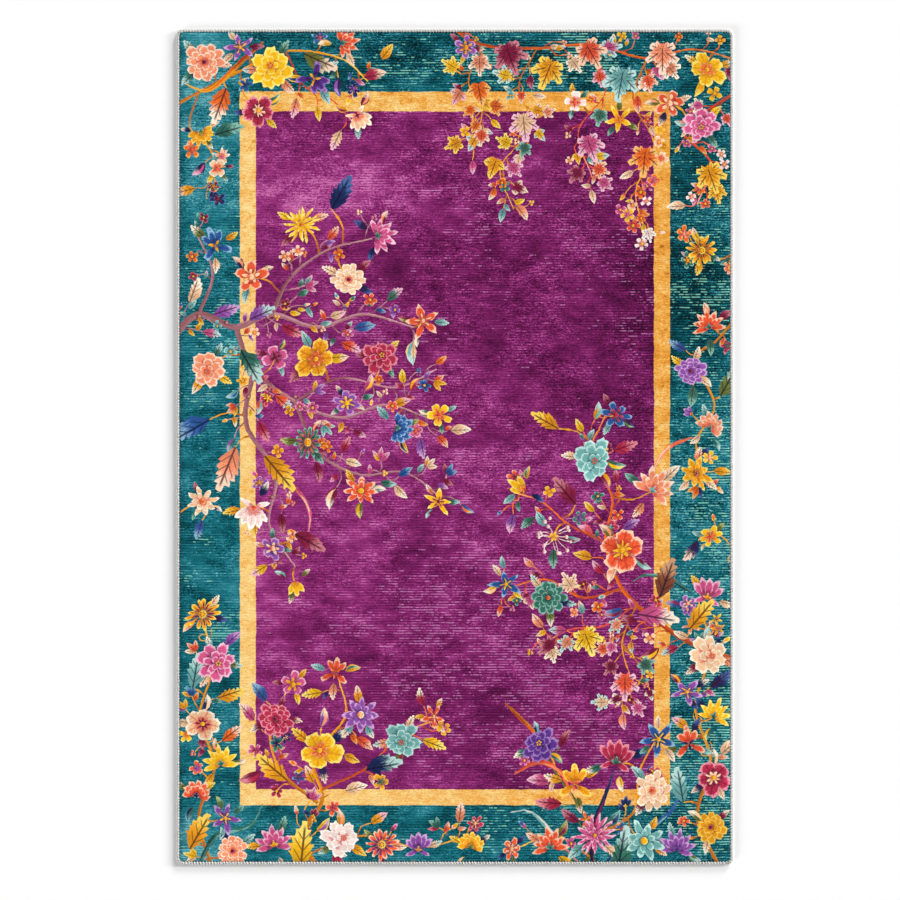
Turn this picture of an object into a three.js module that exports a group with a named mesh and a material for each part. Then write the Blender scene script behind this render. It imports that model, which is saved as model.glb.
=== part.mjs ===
// Washable area rug: one flat low-pile cloth with an overlocked yarn edge all round.
// Units are millimetres. +X is the rug's short side, +Y its long side and +Z up.
// The origin is at the middle of the underside, so the rug lies on the plane z = 0.
import * as THREE from 'three';

// Driving dimensions
const rugWidth = 1219;
const rugLength = 1829;
const clothThick = 4.2;
const cornerRadius = 15;
const cornerSteps = 8;
const meshGap = 0.3;

// The overlock yarn wraps the edge, and its stitches press the cloth's margin thin.
const yarnWidth = 7;
const yarnThick = 0.8;
const pressedThick = 2.2;
const yarnRound = 1.1;
const pileLean = 1;

// Heights and insets worked out from them
const marginLow = yarnThick + meshGap;
const marginHigh = marginLow + pressedThick;
const marginInset = yarnThick + meshGap;
const pileFoot = yarnWidth + meshGap;
const pileInset = pileFoot + pileLean;
const undersideInset = pileFoot + marginLow;
const yarnRoof = marginHigh + meshGap;
const yarnHigh = yarnRoof + yarnThick;

// The rug's outline, drawn in by an inset, as points in order round it
function outlinePoints(inset) {
  const radius = Math.max(cornerRadius - inset, cornerRadius / 4);
  const across = rugWidth / 2 - inset - radius;
  const along = rugLength / 2 - inset - radius;
  const corners = [
    [across, along],
    [-across, along],
    [-across, -along],
    [across, -along],
  ];
  const points = [];
  corners.forEach(([x, y], corner) => {
    for (let step = 0; step <= cornerSteps; step += 1) {
      const turn = (corner + step / cornerSteps) * (Math.PI / 2);
      points.push(new THREE.Vector2(x + radius * Math.cos(turn), y + radius * Math.sin(turn)));
    }
  });
  return points;
}

// A closed surface whose rings follow the outline, one for each {inset, z} of a section.
// A section that closes on itself makes a frame, and any other gets a flat face at both ends.
function alongOutline(section, closes) {
  const rings = section.map(({ inset }) => outlinePoints(inset));
  const around = rings[0].length;
  const places = rings.flatMap((ring, row) => ring.flatMap(({ x, y }) => [x, y, section[row].z]));
  const faces = [];
  const steps = closes ? rings.length : rings.length - 1;
  for (let row = 0; row < steps; row += 1) {
    const next = (row + 1) % rings.length;
    for (let i = 0; i < around; i += 1) {
      const j = (i + 1) % around;
      const [a, b] = [row * around + i, row * around + j];
      const [c, d] = [next * around + j, next * around + i];
      faces.push(a, b, c, a, c, d);
    }
  }
  if (!closes) {
    const last = (rings.length - 1) * around;
    for (const [a, b, c] of THREE.ShapeUtils.triangulateShape(rings[0], [])) {
      faces.push(a, c, b);
    }
    for (const [a, b, c] of THREE.ShapeUtils.triangulateShape(rings.at(-1), [])) {
      faces.push(last + a, last + b, last + c);
    }
  }
  const geometry = new THREE.BufferGeometry();
  geometry.setAttribute('position', new THREE.Float32BufferAttribute(places, 3));
  geometry.setIndex(faces);
  geometry.computeVertexNormals();
  return geometry;
}

// The printed cloth, full thickness inside and pressed thin where the yarn wraps it
function makeCloth() {
  const section = [
    { inset: undersideInset, z: 0 },
    { inset: pileFoot, z: marginLow },
    { inset: marginInset, z: marginLow },
    { inset: marginInset, z: marginHigh },
    { inset: pileFoot, z: marginHigh },
    { inset: pileInset, z: clothThick },
  ];
  const material = new THREE.MeshStandardMaterial({ color: 0x7a2a6c, roughness: 0.95, metalness: 0 });
  const mesh = new THREE.Mesh(alongOutline(section, false), material);
  mesh.name = 'rug_body';
  return mesh;
}

// The overlock yarn, one bead that wraps the margin above, outside and below
function makeEdge() {
  const section = [
    { inset: yarnWidth, z: 0 },
    { inset: yarnRound, z: 0 },
    { inset: yarnRound * 0.3, z: yarnRound * 0.3 },
    { inset: 0, z: yarnRound },
    { inset: 0, z: yarnHigh - yarnRound },
    { inset: yarnRound * 0.3, z: yarnHigh - yarnRound * 0.3 },
    { inset: yarnRound, z: yarnHigh },
    { inset: yarnWidth - yarnThick / 2, z: yarnHigh },
    { inset: yarnWidth, z: yarnRoof + yarnThick / 2 },
    { inset: yarnWidth, z: yarnRoof },
    { inset: yarnThick, z: yarnRoof },
    { inset: yarnThick, z: yarnThick },
    { inset: yarnWidth, z: yarnThick },
  ];
  const material = new THREE.MeshStandardMaterial({ color: 0xd6d5cf, roughness: 0.8, metalness: 0 });
  const mesh = new THREE.Mesh(alongOutline(section, true), material);
  mesh.name = 'edge_serging';
  return mesh;
}

const rug = new THREE.Group();
rug.add(makeCloth(), makeEdge());

export default rug;
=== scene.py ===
import math
import random

import bpy
import numpy as np
from mathutils.geometry import delaunay_2d_cdt
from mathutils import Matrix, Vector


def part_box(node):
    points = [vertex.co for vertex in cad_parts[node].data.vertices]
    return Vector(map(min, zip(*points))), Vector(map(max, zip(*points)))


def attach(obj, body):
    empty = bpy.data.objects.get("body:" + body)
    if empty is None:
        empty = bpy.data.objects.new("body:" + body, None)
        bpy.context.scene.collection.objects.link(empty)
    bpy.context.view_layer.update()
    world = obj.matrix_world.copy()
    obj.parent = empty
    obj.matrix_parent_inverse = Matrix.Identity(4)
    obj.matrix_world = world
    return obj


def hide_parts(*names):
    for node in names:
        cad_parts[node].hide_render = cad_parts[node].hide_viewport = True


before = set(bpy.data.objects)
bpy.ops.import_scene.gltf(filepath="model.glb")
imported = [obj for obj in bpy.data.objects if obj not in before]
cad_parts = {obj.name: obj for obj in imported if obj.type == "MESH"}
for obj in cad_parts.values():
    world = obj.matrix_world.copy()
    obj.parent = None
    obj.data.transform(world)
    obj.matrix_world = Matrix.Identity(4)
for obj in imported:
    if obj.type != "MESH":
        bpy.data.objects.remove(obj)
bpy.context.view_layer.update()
mm = 0.001

# Sizes in millimetres, read off the frame
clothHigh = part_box("rug_body")[1]
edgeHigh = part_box("edge_serging")[1]
halfWide = edgeHigh[0] / mm
halfLong = edgeHigh[1] / mm
pileHigh = clothHigh[2] / mm
yarnHigh = edgeHigh[2] / mm
clothInset = (edgeHigh[0] - clothHigh[0]) / mm
cornerRadius = 15.0  # as in the CAD


# Node helpers: a Value is a socket of a tree, and each sign between Values makes a Math node
def linear(text):
    channels = [int(text[i : i + 2], 16) / 255 for i in (1, 3, 5)]
    return [c / 12.92 if c <= 0.04045 else ((c + 0.055) / 1.055) ** 2.4 for c in channels]


def plug(tree, socket, value):
    if isinstance(value, Value):
        tree.links.new(value.socket, socket)
    elif isinstance(value, str) and value.startswith("#"):
        socket.default_value = (*linear(value), 1)
    else:
        socket.default_value = value


def put(tree, kind, inputs=(), output=0, **settings):
    # a node with its settings and its inputs, as a Value of one output
    node = tree.nodes.new(kind)
    for name, value in settings.items():
        setattr(node, name, value)
    for name, value in dict(inputs).items():
        plug(tree, node.inputs[name], value)
    return Value(tree, node.outputs[output]) if len(node.outputs) else None


def maths(tree, operation, *values):
    return put(tree, "ShaderNodeMath", enumerate(values), operation=operation)


class Value:
    def __init__(self, tree, socket):
        self.tree, self.socket = tree, socket

    def of(self, operation, *others):
        return maths(self.tree, operation, self, *others)

    def beside(self, name):
        # another output of the same node
        return Value(self.tree, self.socket.node.outputs[name])

    def __add__(self, other):
        return self.of("ADD", other)

    def __radd__(self, other):
        return maths(self.tree, "ADD", other, self)

    def __sub__(self, other):
        return self.of("SUBTRACT", other)

    def __rsub__(self, other):
        return maths(self.tree, "SUBTRACT", other, self)

    def __mul__(self, other):
        return self.of("MULTIPLY", other)

    def __truediv__(self, other):
        return self.of("DIVIDE", other)

    def __abs__(self):
        return self.of("ABSOLUTE")


def vectorMaths(operation, a, b):
    return put(a.tree, "ShaderNodeVectorMath", {0: a, 1: b}, operation=operation)


def scaled(vector, amount):
    return put(vector.tree, "ShaderNodeVectorMath", {0: vector, "Scale": amount}, operation="SCALE")


def between(value, low, high, toLow=0.0, toHigh=1.0):
    reach = {"Value": value, "From Min": low, "From Max": high, "To Min": toLow, "To Max": toHigh}
    return put(value.tree, "ShaderNodeMapRange", reach, interpolation_type="SMOOTHSTEP")


def centred(value, amount):
    return (value - 0.5) * amount


def blended(share, a, b):
    return put(share.tree, "ShaderNodeMix", {0: share, 6: a, 7: b}, 2, data_type="RGBA")


def noise(place, size, detail, roughness=0.5, output="Fac"):
    # size is the grain along each axis, in the unit of place
    steps = vectorMaths("MULTIPLY", place, tuple(1 / s for s in size))
    form = {"Vector": steps, "Scale": 1, "Detail": detail, "Roughness": roughness}
    return put(place.tree, "ShaderNodeTexNoise", form, output)


def rampOf(value, stops):
    colour = put(value.tree, "ShaderNodeValToRGB", {0: value})
    ramp = colour.socket.node.color_ramp
    while len(ramp.elements) < len(stops):
        ramp.elements.new(0.5)
    for element, (place, ink) in zip(ramp.elements, stops):
        element.position = place
        element.color = (*linear(ink), 1)
    return colour


def parts(vector):
    node = put(vector.tree, "ShaderNodeSeparateXYZ", {0: vector}).socket.node
    return [Value(vector.tree, socket) for socket in node.outputs]


def attribute(tree, name, output="Fac"):
    return put(tree, "ShaderNodeAttribute", output=output, attribute_name=name)


def placeInMm(tree):
    return vectorMaths("MULTIPLY", put(tree, "ShaderNodeTexCoord", output="Object"), (1 / mm,) * 3)


def newMaterial(name):
    material = bpy.data.materials.new(name)
    material.use_nodes = True
    material.node_tree.nodes.clear()
    return material, material.node_tree


def finishMaterial(material, colour, height, look):
    # look has the bump's strength and distance, and the shader's own settings
    tree = material.node_tree
    normal = put(tree, "ShaderNodeBump", {**look["bump"], "Height": height})
    shader = put(tree, "ShaderNodeBsdfPrincipled", {**look["shader"], "Base Color": colour, "Normal": normal})
    put(tree, "ShaderNodeOutputMaterial", {"Surface": shader})
    return material


# Camera and light, as in a picture taken straight down
camera = {
    "distance": 6.0,
    "frameWide": 1.9703,  # metres of floor across the picture
    "rugLeftOfMiddle": -0.0107,
    "rugBelowMiddle": -0.0068,
    "sensor": 36.0,
}


def addObject(name, data):
    thing = bpy.data.objects.new(name, data)
    bpy.context.collection.objects.link(thing)
    return thing


def makeCamera():
    lens = bpy.data.cameras.new("aboveRug")
    lens.sensor_width = camera["sensor"]
    lens.lens = camera["sensor"] * camera["distance"] / camera["frameWide"]
    eye = addObject("aboveRug", lens)
    eye.location = (camera["rugLeftOfMiddle"], camera["rugBelowMiddle"], camera["distance"])
    bpy.context.scene.camera = eye
    print("camera placed")


lights = {
    "sky": 0.285,
    "backdrop": 0.98,  # looks as pale as the floor, whatever light the sky gives
    # name, power, degrees across, height, degrees round from +X towards +Y
    "suns": [
        ("windowLeftPane", 4.0, 9.0, 9.5, 14.0),
        ("windowMiddle", 1.6, 16.0, 20.0, 38.0),
        ("windowRightPane", 3.8, 9.0, 9.5, 62.0),
        ("wallLight", 3.3, 14.0, 10.0, 215.0),
    ],
    "floorHalf": 40.0,
    "floorColour": "#fafafa",
}


def makeLights():
    for name, power, softness, height, bearing in lights["suns"]:
        sun = bpy.data.lights.new(name, "SUN")
        sun.energy = power
        sun.angle = math.radians(softness)
        addObject(name, sun).rotation_euler = (math.radians(90 - height), 0, math.radians(90 + bearing))
    world = bpy.data.worlds.new("studio")
    world.use_nodes = True
    tree = world.node_tree
    sky = tree.nodes["Background"].inputs
    plug(tree, sky["Color"], "#ffffff")
    seen = put(tree, "ShaderNodeLightPath", output="Is Camera Ray")
    plug(tree, sky["Strength"], seen * (lights["backdrop"] - lights["sky"]) + lights["sky"])
    bpy.context.scene.world = world
    bpy.context.scene.view_settings.view_transform = "Standard"
    print("lights:", len(lights["suns"]))


def makeFloor():
    half = lights["floorHalf"]
    mesh = bpy.data.meshes.new("paleFloor")
    corners = [(-half, -half, 0), (half, -half, 0), (half, half, 0), (-half, half, 0)]
    mesh.from_pydata(corners, [], [(0, 1, 2, 3)])
    material, tree = newMaterial("paleFloor")
    paint = put(tree, "ShaderNodeBsdfDiffuse", {"Color": lights["floorColour"]})
    put(tree, "ShaderNodeOutputMaterial", {"Surface": paint})
    mesh.materials.append(material)
    addObject("paleFloor", mesh)


# The print's inks: the middle of a petal or leaf, its rim, and its root and veins
inks = {
    "gold": ("#e99b1c", "#fbd45c", "#a8501a"),
    "yellow": ("#f3b81c", "#fbe272", "#c8781a"),
    "orange": ("#ea6a22", "#fabc6c", "#9a3018"),
    "coral": ("#ea5a36", "#fbcaaa", "#a8261c"),
    "peach": ("#f0906a", "#fcdcc2", "#cc4a34"),
    "pink": ("#cf5486", "#f2bccf", "#7e1c48"),
    "rose": ("#b02c4a", "#e88c9a", "#601026"),
    "wine": ("#842040", "#cc7a88", "#3c0a1e"),
    "lilac": ("#8e50a2", "#d2a4d4", "#4a2064"),
    "violet": ("#5a3084", "#a07cbc", "#281048"),
    "blue": ("#2e5696", "#8cb6d4", "#142250"),
    "navy": ("#1f2a58", "#4a6aa2", "#0e1028"),
    "teal": ("#36705f", "#8ec2b0", "#153634"),
    "aqua": ("#6ea8a4", "#bcdfd8", "#275c5a"),
    "cream": ("#f2c49a", "#fdf0d8", "#d8502c"),
    "white": ("#f6dcd2", "#fffaf2", "#cc5a58"),
    "olive": ("#6a7434", "#bec474", "#313e1a"),
    "brown": ("#8a4a30", "#d09c76", "#401812"),
    "tan": ("#b8808a", "#dfb2ac", "#7a4448"),
}
inks = {name: np.array([linear(c) for c in triple]) for name, triple in inks.items()}
drawing = {
    "seed": 4910,
    "inkUneven": 0.1,
    "longEdge": 8.0,  # an edge longer than this gets a point in between
    "offEdge": 0.12,  # how far off the edge that point may lie, as a share of it
    "rough": 0.034,  # how far an outline's points wander, as a share of the motif
    "roughMost": 1.2,
    "smallFlower": 17,  # a flower under this size is drawn plainer
    "leafBelly": 0.8,  # under 1 a leaf is widest nearer its root
    "lineStep": 9.0,
}
hand = random.Random(drawing["seed"])  # the unevenness of every outline and ink
shapes = []
claimed = []


def varied(triple):
    return triple * (1 + hand.uniform(-drawing["inkUneven"], drawing["inkUneven"]))


def leafInks(base, tip, veins):
    # a leaf runs from one ink at its base to another's rim at its tip, with dark veins
    return np.stack([varied(inks[base])[0], inks[tip][1], inks[veins][2]])


def wavered(outline):
    # a knotted outline has no long straight edges, so each gets a point in between
    ring = []
    for a, b in zip(outline, [*outline[1:], outline[0]]):
        ring.append(a)
        dx, dy = b[0] - a[0], b[1] - a[1]
        length = math.hypot(dx, dy)
        if length > drawing["longEdge"]:
            share, off = hand.uniform(0.35, 0.65), hand.uniform(-drawing["offEdge"], drawing["offEdge"])
            ring.append((a[0] + share * dx - off * dy, a[1] + share * dy + off * dx))
    return ring


def addShape(layer, outline, middle, along, halfLength, halfWidth, triple, vein, rim, tipped=0.0):
    ring = np.array(wavered(outline), float)
    turned = np.roll(ring, -1, axis=0)
    if (ring[:, 0] * turned[:, 1] - ring[:, 1] * turned[:, 0]).sum() < 0:
        ring = ring[::-1]
    shapes.append(
        {
            "layer": layer,
            "ring": ring,
            "boxMiddle": (ring.min(axis=0) + ring.max(axis=0)) / 2,
            "boxHalf": (ring.max(axis=0) - ring.min(axis=0)) / 2,
            "middle": middle,
            "along": along,
            "half": (max(halfLength, 0.1), max(halfWidth, 0.1)),
            "inks": triple,
            "setting": (1.0, vein, rim),
            "tipped": tipped,
        }
    )


# A pen draws in its own turned, sized and squashed frame, with its root at 0, 0 and its tip along +x
class Pen:
    def __init__(self, x, y, size, turn, layer, squash):
        self.x, self.y, self.size, self.layer, self.squash = x, y, size, layer, squash
        self.turn = math.radians(turn)
        self.rough = min(drawing["roughMost"], drawing["rough"] * size)

    def spot(self, px, py):
        c, s = math.cos(self.turn), math.sin(self.turn)
        py *= self.squash
        return self.x + self.size * (px * c - py * s), self.y + self.size * (px * s + py * c)

    def inner(self, px, py, scale, lift):
        x, y = self.spot(px, py)
        return Pen(x, y, self.size * scale, math.degrees(self.turn), self.layer + lift, self.squash)

    def shape(self, outline, angle, near, far, width, triple, vein, rim, lift, tipped=0.0):
        # the outline runs along +x from near to far, and angle then turns it about the pen
        c, s = math.cos(angle), math.sin(angle)
        ring = []
        for px, py in outline:
            x, y = self.spot(px * c - py * s, px * s + py * c)
            ring.append((x + hand.uniform(-1, 1) * self.rough, y + hand.uniform(-1, 1) * self.rough))
        root, tip = np.array(self.spot(near * c, near * s)), np.array(self.spot(far * c, far * s))
        reach = float(np.linalg.norm(tip - root)) or 1.0
        narrow = math.hypot(s, c * self.squash)
        addShape(self.layer + lift, ring, (root + tip) / 2, (tip - root) / reach, reach / 2,
                 self.size * width * narrow / 2, triple, vein, rim, tipped)

    def petal(self, angle, near, far, width, triple, points, notch=0.0, point=0.0, taper=0.4,
              ruffle=0.0, curl=0.0, vein=0.0, rim=1.0, lift=0.0):
        half = (far - near) / 2
        outline = []
        for step in range(points):
            a = 2 * math.pi * step / points
            towardsTip = (1 + math.cos(a)) / 2
            swell = 1 + ruffle * (1 if step % 2 else -1) * towardsTip * hand.uniform(0.5, 1.5)
            if step == 0:
                swell += point - notch
            side = math.sin(a) * (1 - taper * (1 - towardsTip)) * (1 - 1.2 * point * towardsTip)
            bent = curl * half * towardsTip**2
            outline.append((near + half * (1 + math.cos(a) * swell), width / 2 * side * swell + bent))
        self.shape(outline, angle, near, far, width, triple, vein, rim, lift)

    def leaf(self, angle, near, far, width, triple, steps, teeth=0.0, bend=0.0, vein=1.0, rim=0.9, lift=0.0):
        length = far - near
        sides = []
        for side in (1, -1):
            run = []
            for step in range(1, steps):
                t = step / steps
                swell = math.sin(math.pi * t ** drawing["leafBelly"]) ** 0.85
                half = width / 2 * swell * hand.uniform(0.92, 1.08)
                lean = 0.0
                if teeth:
                    half *= 1 - teeth * (step % 2)
                    lean = 0.0 if step % 2 else 0.9 / steps
                off = side * half + bend * length * 4 * t * (1 - t)
                run.append((near + length * min(t + lean, 0.99), off))
            sides.append(run)
        outline = [(near, 0), *sides[0], (far, 0), *sides[1][::-1]]
        self.shape(outline, angle, near, far, width, triple, vein, rim, lift, tipped=1.0)

    def dot(self, px, py, radius, triple, points, rim, lift=0.0):
        ring = []
        for i in range(points):
            a = 2 * math.pi * i / points
            ring.append(self.spot(px + radius * math.cos(a), py + radius * math.sin(a)))
        size = self.size * radius
        addShape(self.layer + lift, ring, self.spot(px, py), (1, 0), size, size, triple, 0, rim)


def petalRing(pen, count, near, far, width, triple, start=0.0, lift=0.0, uneven=0.15, curl=0.0, **form):
    for i in range(count):
        angle = start + 2 * math.pi * i / count + hand.uniform(-1, 1) * uneven * 2 / count**0.5
        reach = far * (1 + hand.uniform(-1, 1) * uneven)
        broad = width * (1 + hand.uniform(-1, 1) * uneven)
        pen.petal(angle, near, reach, broad, varied(triple), lift=lift + 0.001 * i,
                  curl=curl * hand.uniform(-1, 1), **form)


def fanOf(pen, triple, count, spread, near, far, width, lift=0.0, droop=0.16, **form):
    # from the sides in to the middle, so that the middle petal lies on top
    order = sorted(range(count), key=lambda i: -abs(i - (count - 1) / 2))
    for rank, i in enumerate(order):
        angle = math.radians(spread) * (i / (count - 1) - 0.5)
        reach = far * (1 - droop * abs(2 * i / (count - 1) - 1)) * hand.uniform(0.93, 1.07)
        pen.petal(angle, near, reach, width, varied(triple), lift=lift + 0.002 * rank, **form)


def stamens(pen, count, reach, triple, lift, radius=0.05):
    for i in range(count):
        a = 2 * math.pi * (i + 0.5) / count
        pen.dot(reach * math.cos(a), reach * math.sin(a), radius, triple, 5, 0.2, lift)


# The flowers, each about 1 from its middle or root to its tip
def blossom(pen, triple, heart, petals=5):
    small = pen.size < drawing["smallFlower"]
    petalRing(pen, petals, 0.08, 1, 3.7 / petals, triple, points=8 if small else 12, notch=0.14, taper=0.5)
    if not small:
        petalRing(pen, petals, 0.1, 0.56, 1.1 / petals, heart, points=7, taper=0.2, lift=0.2, rim=0.4)
    pen.dot(0, 0, 0.2, inks["yellow"] if small else heart, 6, 0.3, 0.3)


def fourPetal(pen, triple, heart):
    blossom(pen, triple, heart, 4)


def sixPetal(pen, triple, heart):
    blossom(pen, triple, heart, 6)


def star(pen, triple, heart):
    petalRing(pen, 5, 0.02, 1, 0.56, triple, points=8, point=0.22, taper=0.3, vein=0.5)
    petalRing(pen, 5, 0.05, 0.45, 0.14, heart, points=6, point=0.2, lift=0.2, rim=0.3)
    pen.dot(0, 0, 0.13, heart, 6, 0.3, 0.3)


def hibiscus(pen, triple, heart):
    petalRing(pen, 5, 0.1, 1, 0.98, triple, points=17, ruffle=0.07, notch=0.06, taper=0.35, vein=0.7)
    petalRing(pen, 8, 0.04, 0.4, 0.17, heart, points=7, point=0.16, lift=0.2, rim=0.5)
    pen.dot(0, 0, 0.13, inks["yellow"], 7, 0.4, 0.3)


def peony(pen, triple, heart):
    petalRing(pen, 7, 0.2, 1, 0.74, triple, points=14, notch=0.1, ruffle=0.07, taper=0.35)
    middle = pen.inner(0.05, 0.1, 0.72, 0.2)
    petalRing(middle, 6, 0.1, 1, 0.74, triple, 0.4, points=12, notch=0.1, ruffle=0.06, taper=0.35)
    core = pen.inner(0.08, 0.16, 0.42, 0.4)
    petalRing(core, 4, 0.05, 1, 0.92, triple, 0.8, points=9, notch=0.1, taper=0.3)
    stamens(core, 5, 0.26, heart, 0.3, 0.13)


def rosette(pen, triple, heart):
    petalRing(pen, 10, 0.3, 1, 0.56, triple, points=11, notch=0.14, taper=0.3)
    petalRing(pen, 8, 0.16, 0.74, 0.46, triple, 0.3, 0.1, points=10, notch=0.12, taper=0.3)
    petalRing(pen, 5, 0.04, 0.46, 0.44, triple, 0.7, 0.2, points=9, notch=0.1, taper=0.3)
    pen.dot(0, 0, 0.13, heart, 7, 0.5, 0.3)


def aster(pen, triple, heart):
    petalRing(pen, 13, 0.2, 1, 0.34, triple, points=9, point=0.06, taper=0.55)
    petalRing(pen, 13, 0.24, 0.74, 0.08, heart, 0.05, 0.2, 0.05, points=6, rim=0.1)
    pen.dot(0, 0, 0.25, inks["yellow"], 8, 0.6, 0.3)
    stamens(pen, 6, 0.13, heart, 0.31, 0.045)


def curledFlower(pen, triple, heart):
    petalRing(pen, 15, 0.2, 1, 0.22, triple, 0.1, 0, 0.14, curl=0.5, points=10, point=0.08, taper=0.4)
    petalRing(pen, 11, 0.1, 0.7, 0.22, triple, 0.3, 0.1, 0.14, curl=0.4, points=9, point=0.08, taper=0.4)
    petalRing(pen, 7, 0.0, 0.4, 0.2, triple, 0.5, 0.2, 0.12, points=7, point=0.1, taper=0.4)
    pen.dot(0, 0, 0.1, heart, 6, 0.6, 0.3)


def seedHead(pen, triple, heart):
    # uneven threads with a drop at the end of each
    for i in range(15):
        way, curl = 2 * math.pi * (i + hand.uniform(-0.35, 0.35)) / 15, hand.uniform(-0.6, 0.6)
        reach = hand.uniform(0.55, 1)
        line = [pen.spot(*towards(0, 0, reach * t, way + curl * t * t)) for t in (0.08, 0.4, 0.7, 0.96)]
        ribbon(np.array(line), (1.9, 1.4, 2.0), varied(triple), pen.layer + 0.001 * i, 0.6)
        drop = towards(0, 0, reach, way + curl)
        pen.dot(*drop, hand.uniform(0.07, 0.11), varied(triple), 7, 0.8, 0.1)
    petalRing(pen, 6, 0, 0.26, 0.14, heart, points=6, point=0.1, lift=0.3)


def calyx(pen, triple):
    fanOf(pen, triple, 3, 150, -0.12, 0.24, 0.17, 0.5, points=7, point=0.15, rim=0.6)


def lotus(pen, triple, heart):
    fanOf(pen, triple, 7, 200, 0.02, 1, 0.42, points=10, point=0.16, taper=0.35, vein=0.3)
    fanOf(pen, triple, 4, 110, 0.02, 0.72, 0.38, 0.2, points=9, point=0.16, taper=0.35, vein=0.3)
    calyx(pen, heart)


def openLotus(pen, triple, heart):
    petalRing(pen, 8, 0.1, 1, 0.5, triple, points=10, point=0.14, taper=0.3, vein=0.3)
    petalRing(pen, 6, 0.05, 0.64, 0.42, triple, 0.4, 0.2, points=9, point=0.14, taper=0.3)
    pen.dot(0, 0, 0.2, heart, 8, 0.8, 0.4)
    stamens(pen, 5, 0.11, inks["yellow"], 0.41, 0.04)


def magnolia(pen, triple, heart):
    fanOf(pen, triple, 2, 230, 0.0, 0.86, 0.3, points=9, point=0.1, taper=0.2)
    fanOf(pen, triple, 5, 104, 0.02, 1, 0.5, 0.1, 0.05, points=11, point=0.1, taper=0.25, vein=0.4)
    calyx(pen, heart)


def iris(pen, triple, heart):
    fanOf(pen, triple, 3, 76, 0.05, 1, 0.46, points=11, ruffle=0.05, point=0.05, taper=0.4, vein=0.5)
    fanOf(pen, triple, 3, 250, 0.02, 0.85, 0.46, 0.1, -0.1, points=12, ruffle=0.07, taper=0.6, vein=0.6)
    petalRing(pen, 3, 0.0, 0.36, 0.16, heart, math.pi, 0.3, points=7, point=0.1, rim=0.5)


def carnation(pen, triple, heart):
    fanOf(pen, triple, 7, 180, 0.1, 1, 0.46, points=13, ruffle=0.12, taper=0.6)
    fanOf(pen, triple, 5, 120, 0.08, 0.7, 0.36, 0.2, points=11, ruffle=0.1, taper=0.6)
    calyx(pen, heart)


def tulip(pen, triple, heart):
    fanOf(pen, triple, 3, 70, 0, 1, 0.52, points=10, point=0.14, taper=0.1, vein=0.4)
    calyx(pen, heart)


def bud(pen, triple, heart):
    pen.petal(0, 0, 1, 0.62, triple, 8, point=0.2, taper=0.1)
    pen.petal(0.45, -0.1, 0.5, 0.24, heart, 6, point=0.1, lift=0.1)
    pen.petal(-0.45, -0.1, 0.5, 0.24, heart, 6, point=0.1, lift=0.1)


def berries(pen, triple, heart):
    # the lighter of the two inks, so that they show on any ground
    skin = max(triple, heart, key=lambda three: three[0].sum())
    for px, py in ((0.3, 0.32), (0.36, -0.34), (0.8, 0.05)):
        pen.dot(px, py, 0.28, skin, 7, 0.9)


# The leaves, each 2 long from its root
def plainLeaf(pen, triple, heart):
    pen.leaf(0, 0, 2, 0.92, triple, 6, bend=hand.uniform(-0.08, 0.08))


def foldedLeaf(pen, triple, heart):
    bend = hand.choice((-0.1, 0.1))
    pen.leaf(0, 0, 2, 0.86, triple, 7, bend=bend, vein=0.6)
    pen.leaf(0, 0.1, 1.9, 0.34, heart, 6, bend=bend * 1.9, vein=0, lift=0.1)


def toothedLeaf(pen, triple, heart):
    pen.leaf(0, 0, 2, 1.05, triple, 13, teeth=0.3, bend=hand.uniform(-0.08, 0.08))


def lobedLeaf(pen, triple, heart):
    for rank, (angle, reach) in enumerate(((-112, 0.62), (112, 0.62), (-54, 0.94), (54, 0.94), (0, 1.18))):
        pen.leaf(math.radians(angle), -0.14, reach, 0.66, triple, 7, teeth=0.28, rim=1, lift=0.001 * rank)


def ivyLeaf(pen, triple, heart):
    for rank, (angle, reach) in enumerate(((-75, 0.75), (75, 0.75), (0, 1.15))):
        pen.leaf(math.radians(angle), -0.16, reach, 0.74, triple, 6, rim=1, lift=0.001 * rank)


def sprig(pen, triple, heart):
    # three small leaves at the end of a twig
    for rank, angle in enumerate((-0.75, 0.75, 0)):
        pen.leaf(angle, 0, 1.5 - 0.2 * abs(angle), 0.62, triple if rank % 2 else heart, 5, lift=0.001 * rank)


flowerKinds = (blossom, fourPetal, sixPetal, star, hibiscus, peony, rosette, aster, curledFlower, seedHead,
               lotus, openLotus, magnolia, iris, carnation, tulip, bud, berries)
leafKinds = (plainLeaf, foldedLeaf, toothedLeaf, lobedLeaf, ivyLeaf, sprig)
kinds = {kind.__name__: kind for kind in (*flowerKinds, *leafKinds)}
longKinds = ("plainLeaf", "foldedLeaf", "toothedLeaf", "sprig")
roundKinds = (blossom, fourPetal, sixPetal, star, hibiscus, peony, rosette, aster, curledFlower, openLotus)


def drawMotif(kind, x, y, size, turn, ink, heart, layer):
    facing = kinds[kind] in roundKinds
    spin = facing * hand.uniform(0, 360)
    squash = hand.uniform(0.8, 1) if facing else 1.0
    pen = Pen(x, y, size, turn + spin, layer, squash)
    if kinds[kind] in leafKinds:
        veins = "navy" if heart in ("blue", "teal", "aqua", "white", "cream") else "wine"
        kinds[kind](pen, leafInks(ink, heart if heart in ("peach", "aqua", "pink", "cream") else ink, veins),
                    leafInks(heart, heart, veins))
    else:
        kinds[kind](pen, varied(inks[ink]), varied(inks[heart]))


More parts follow.
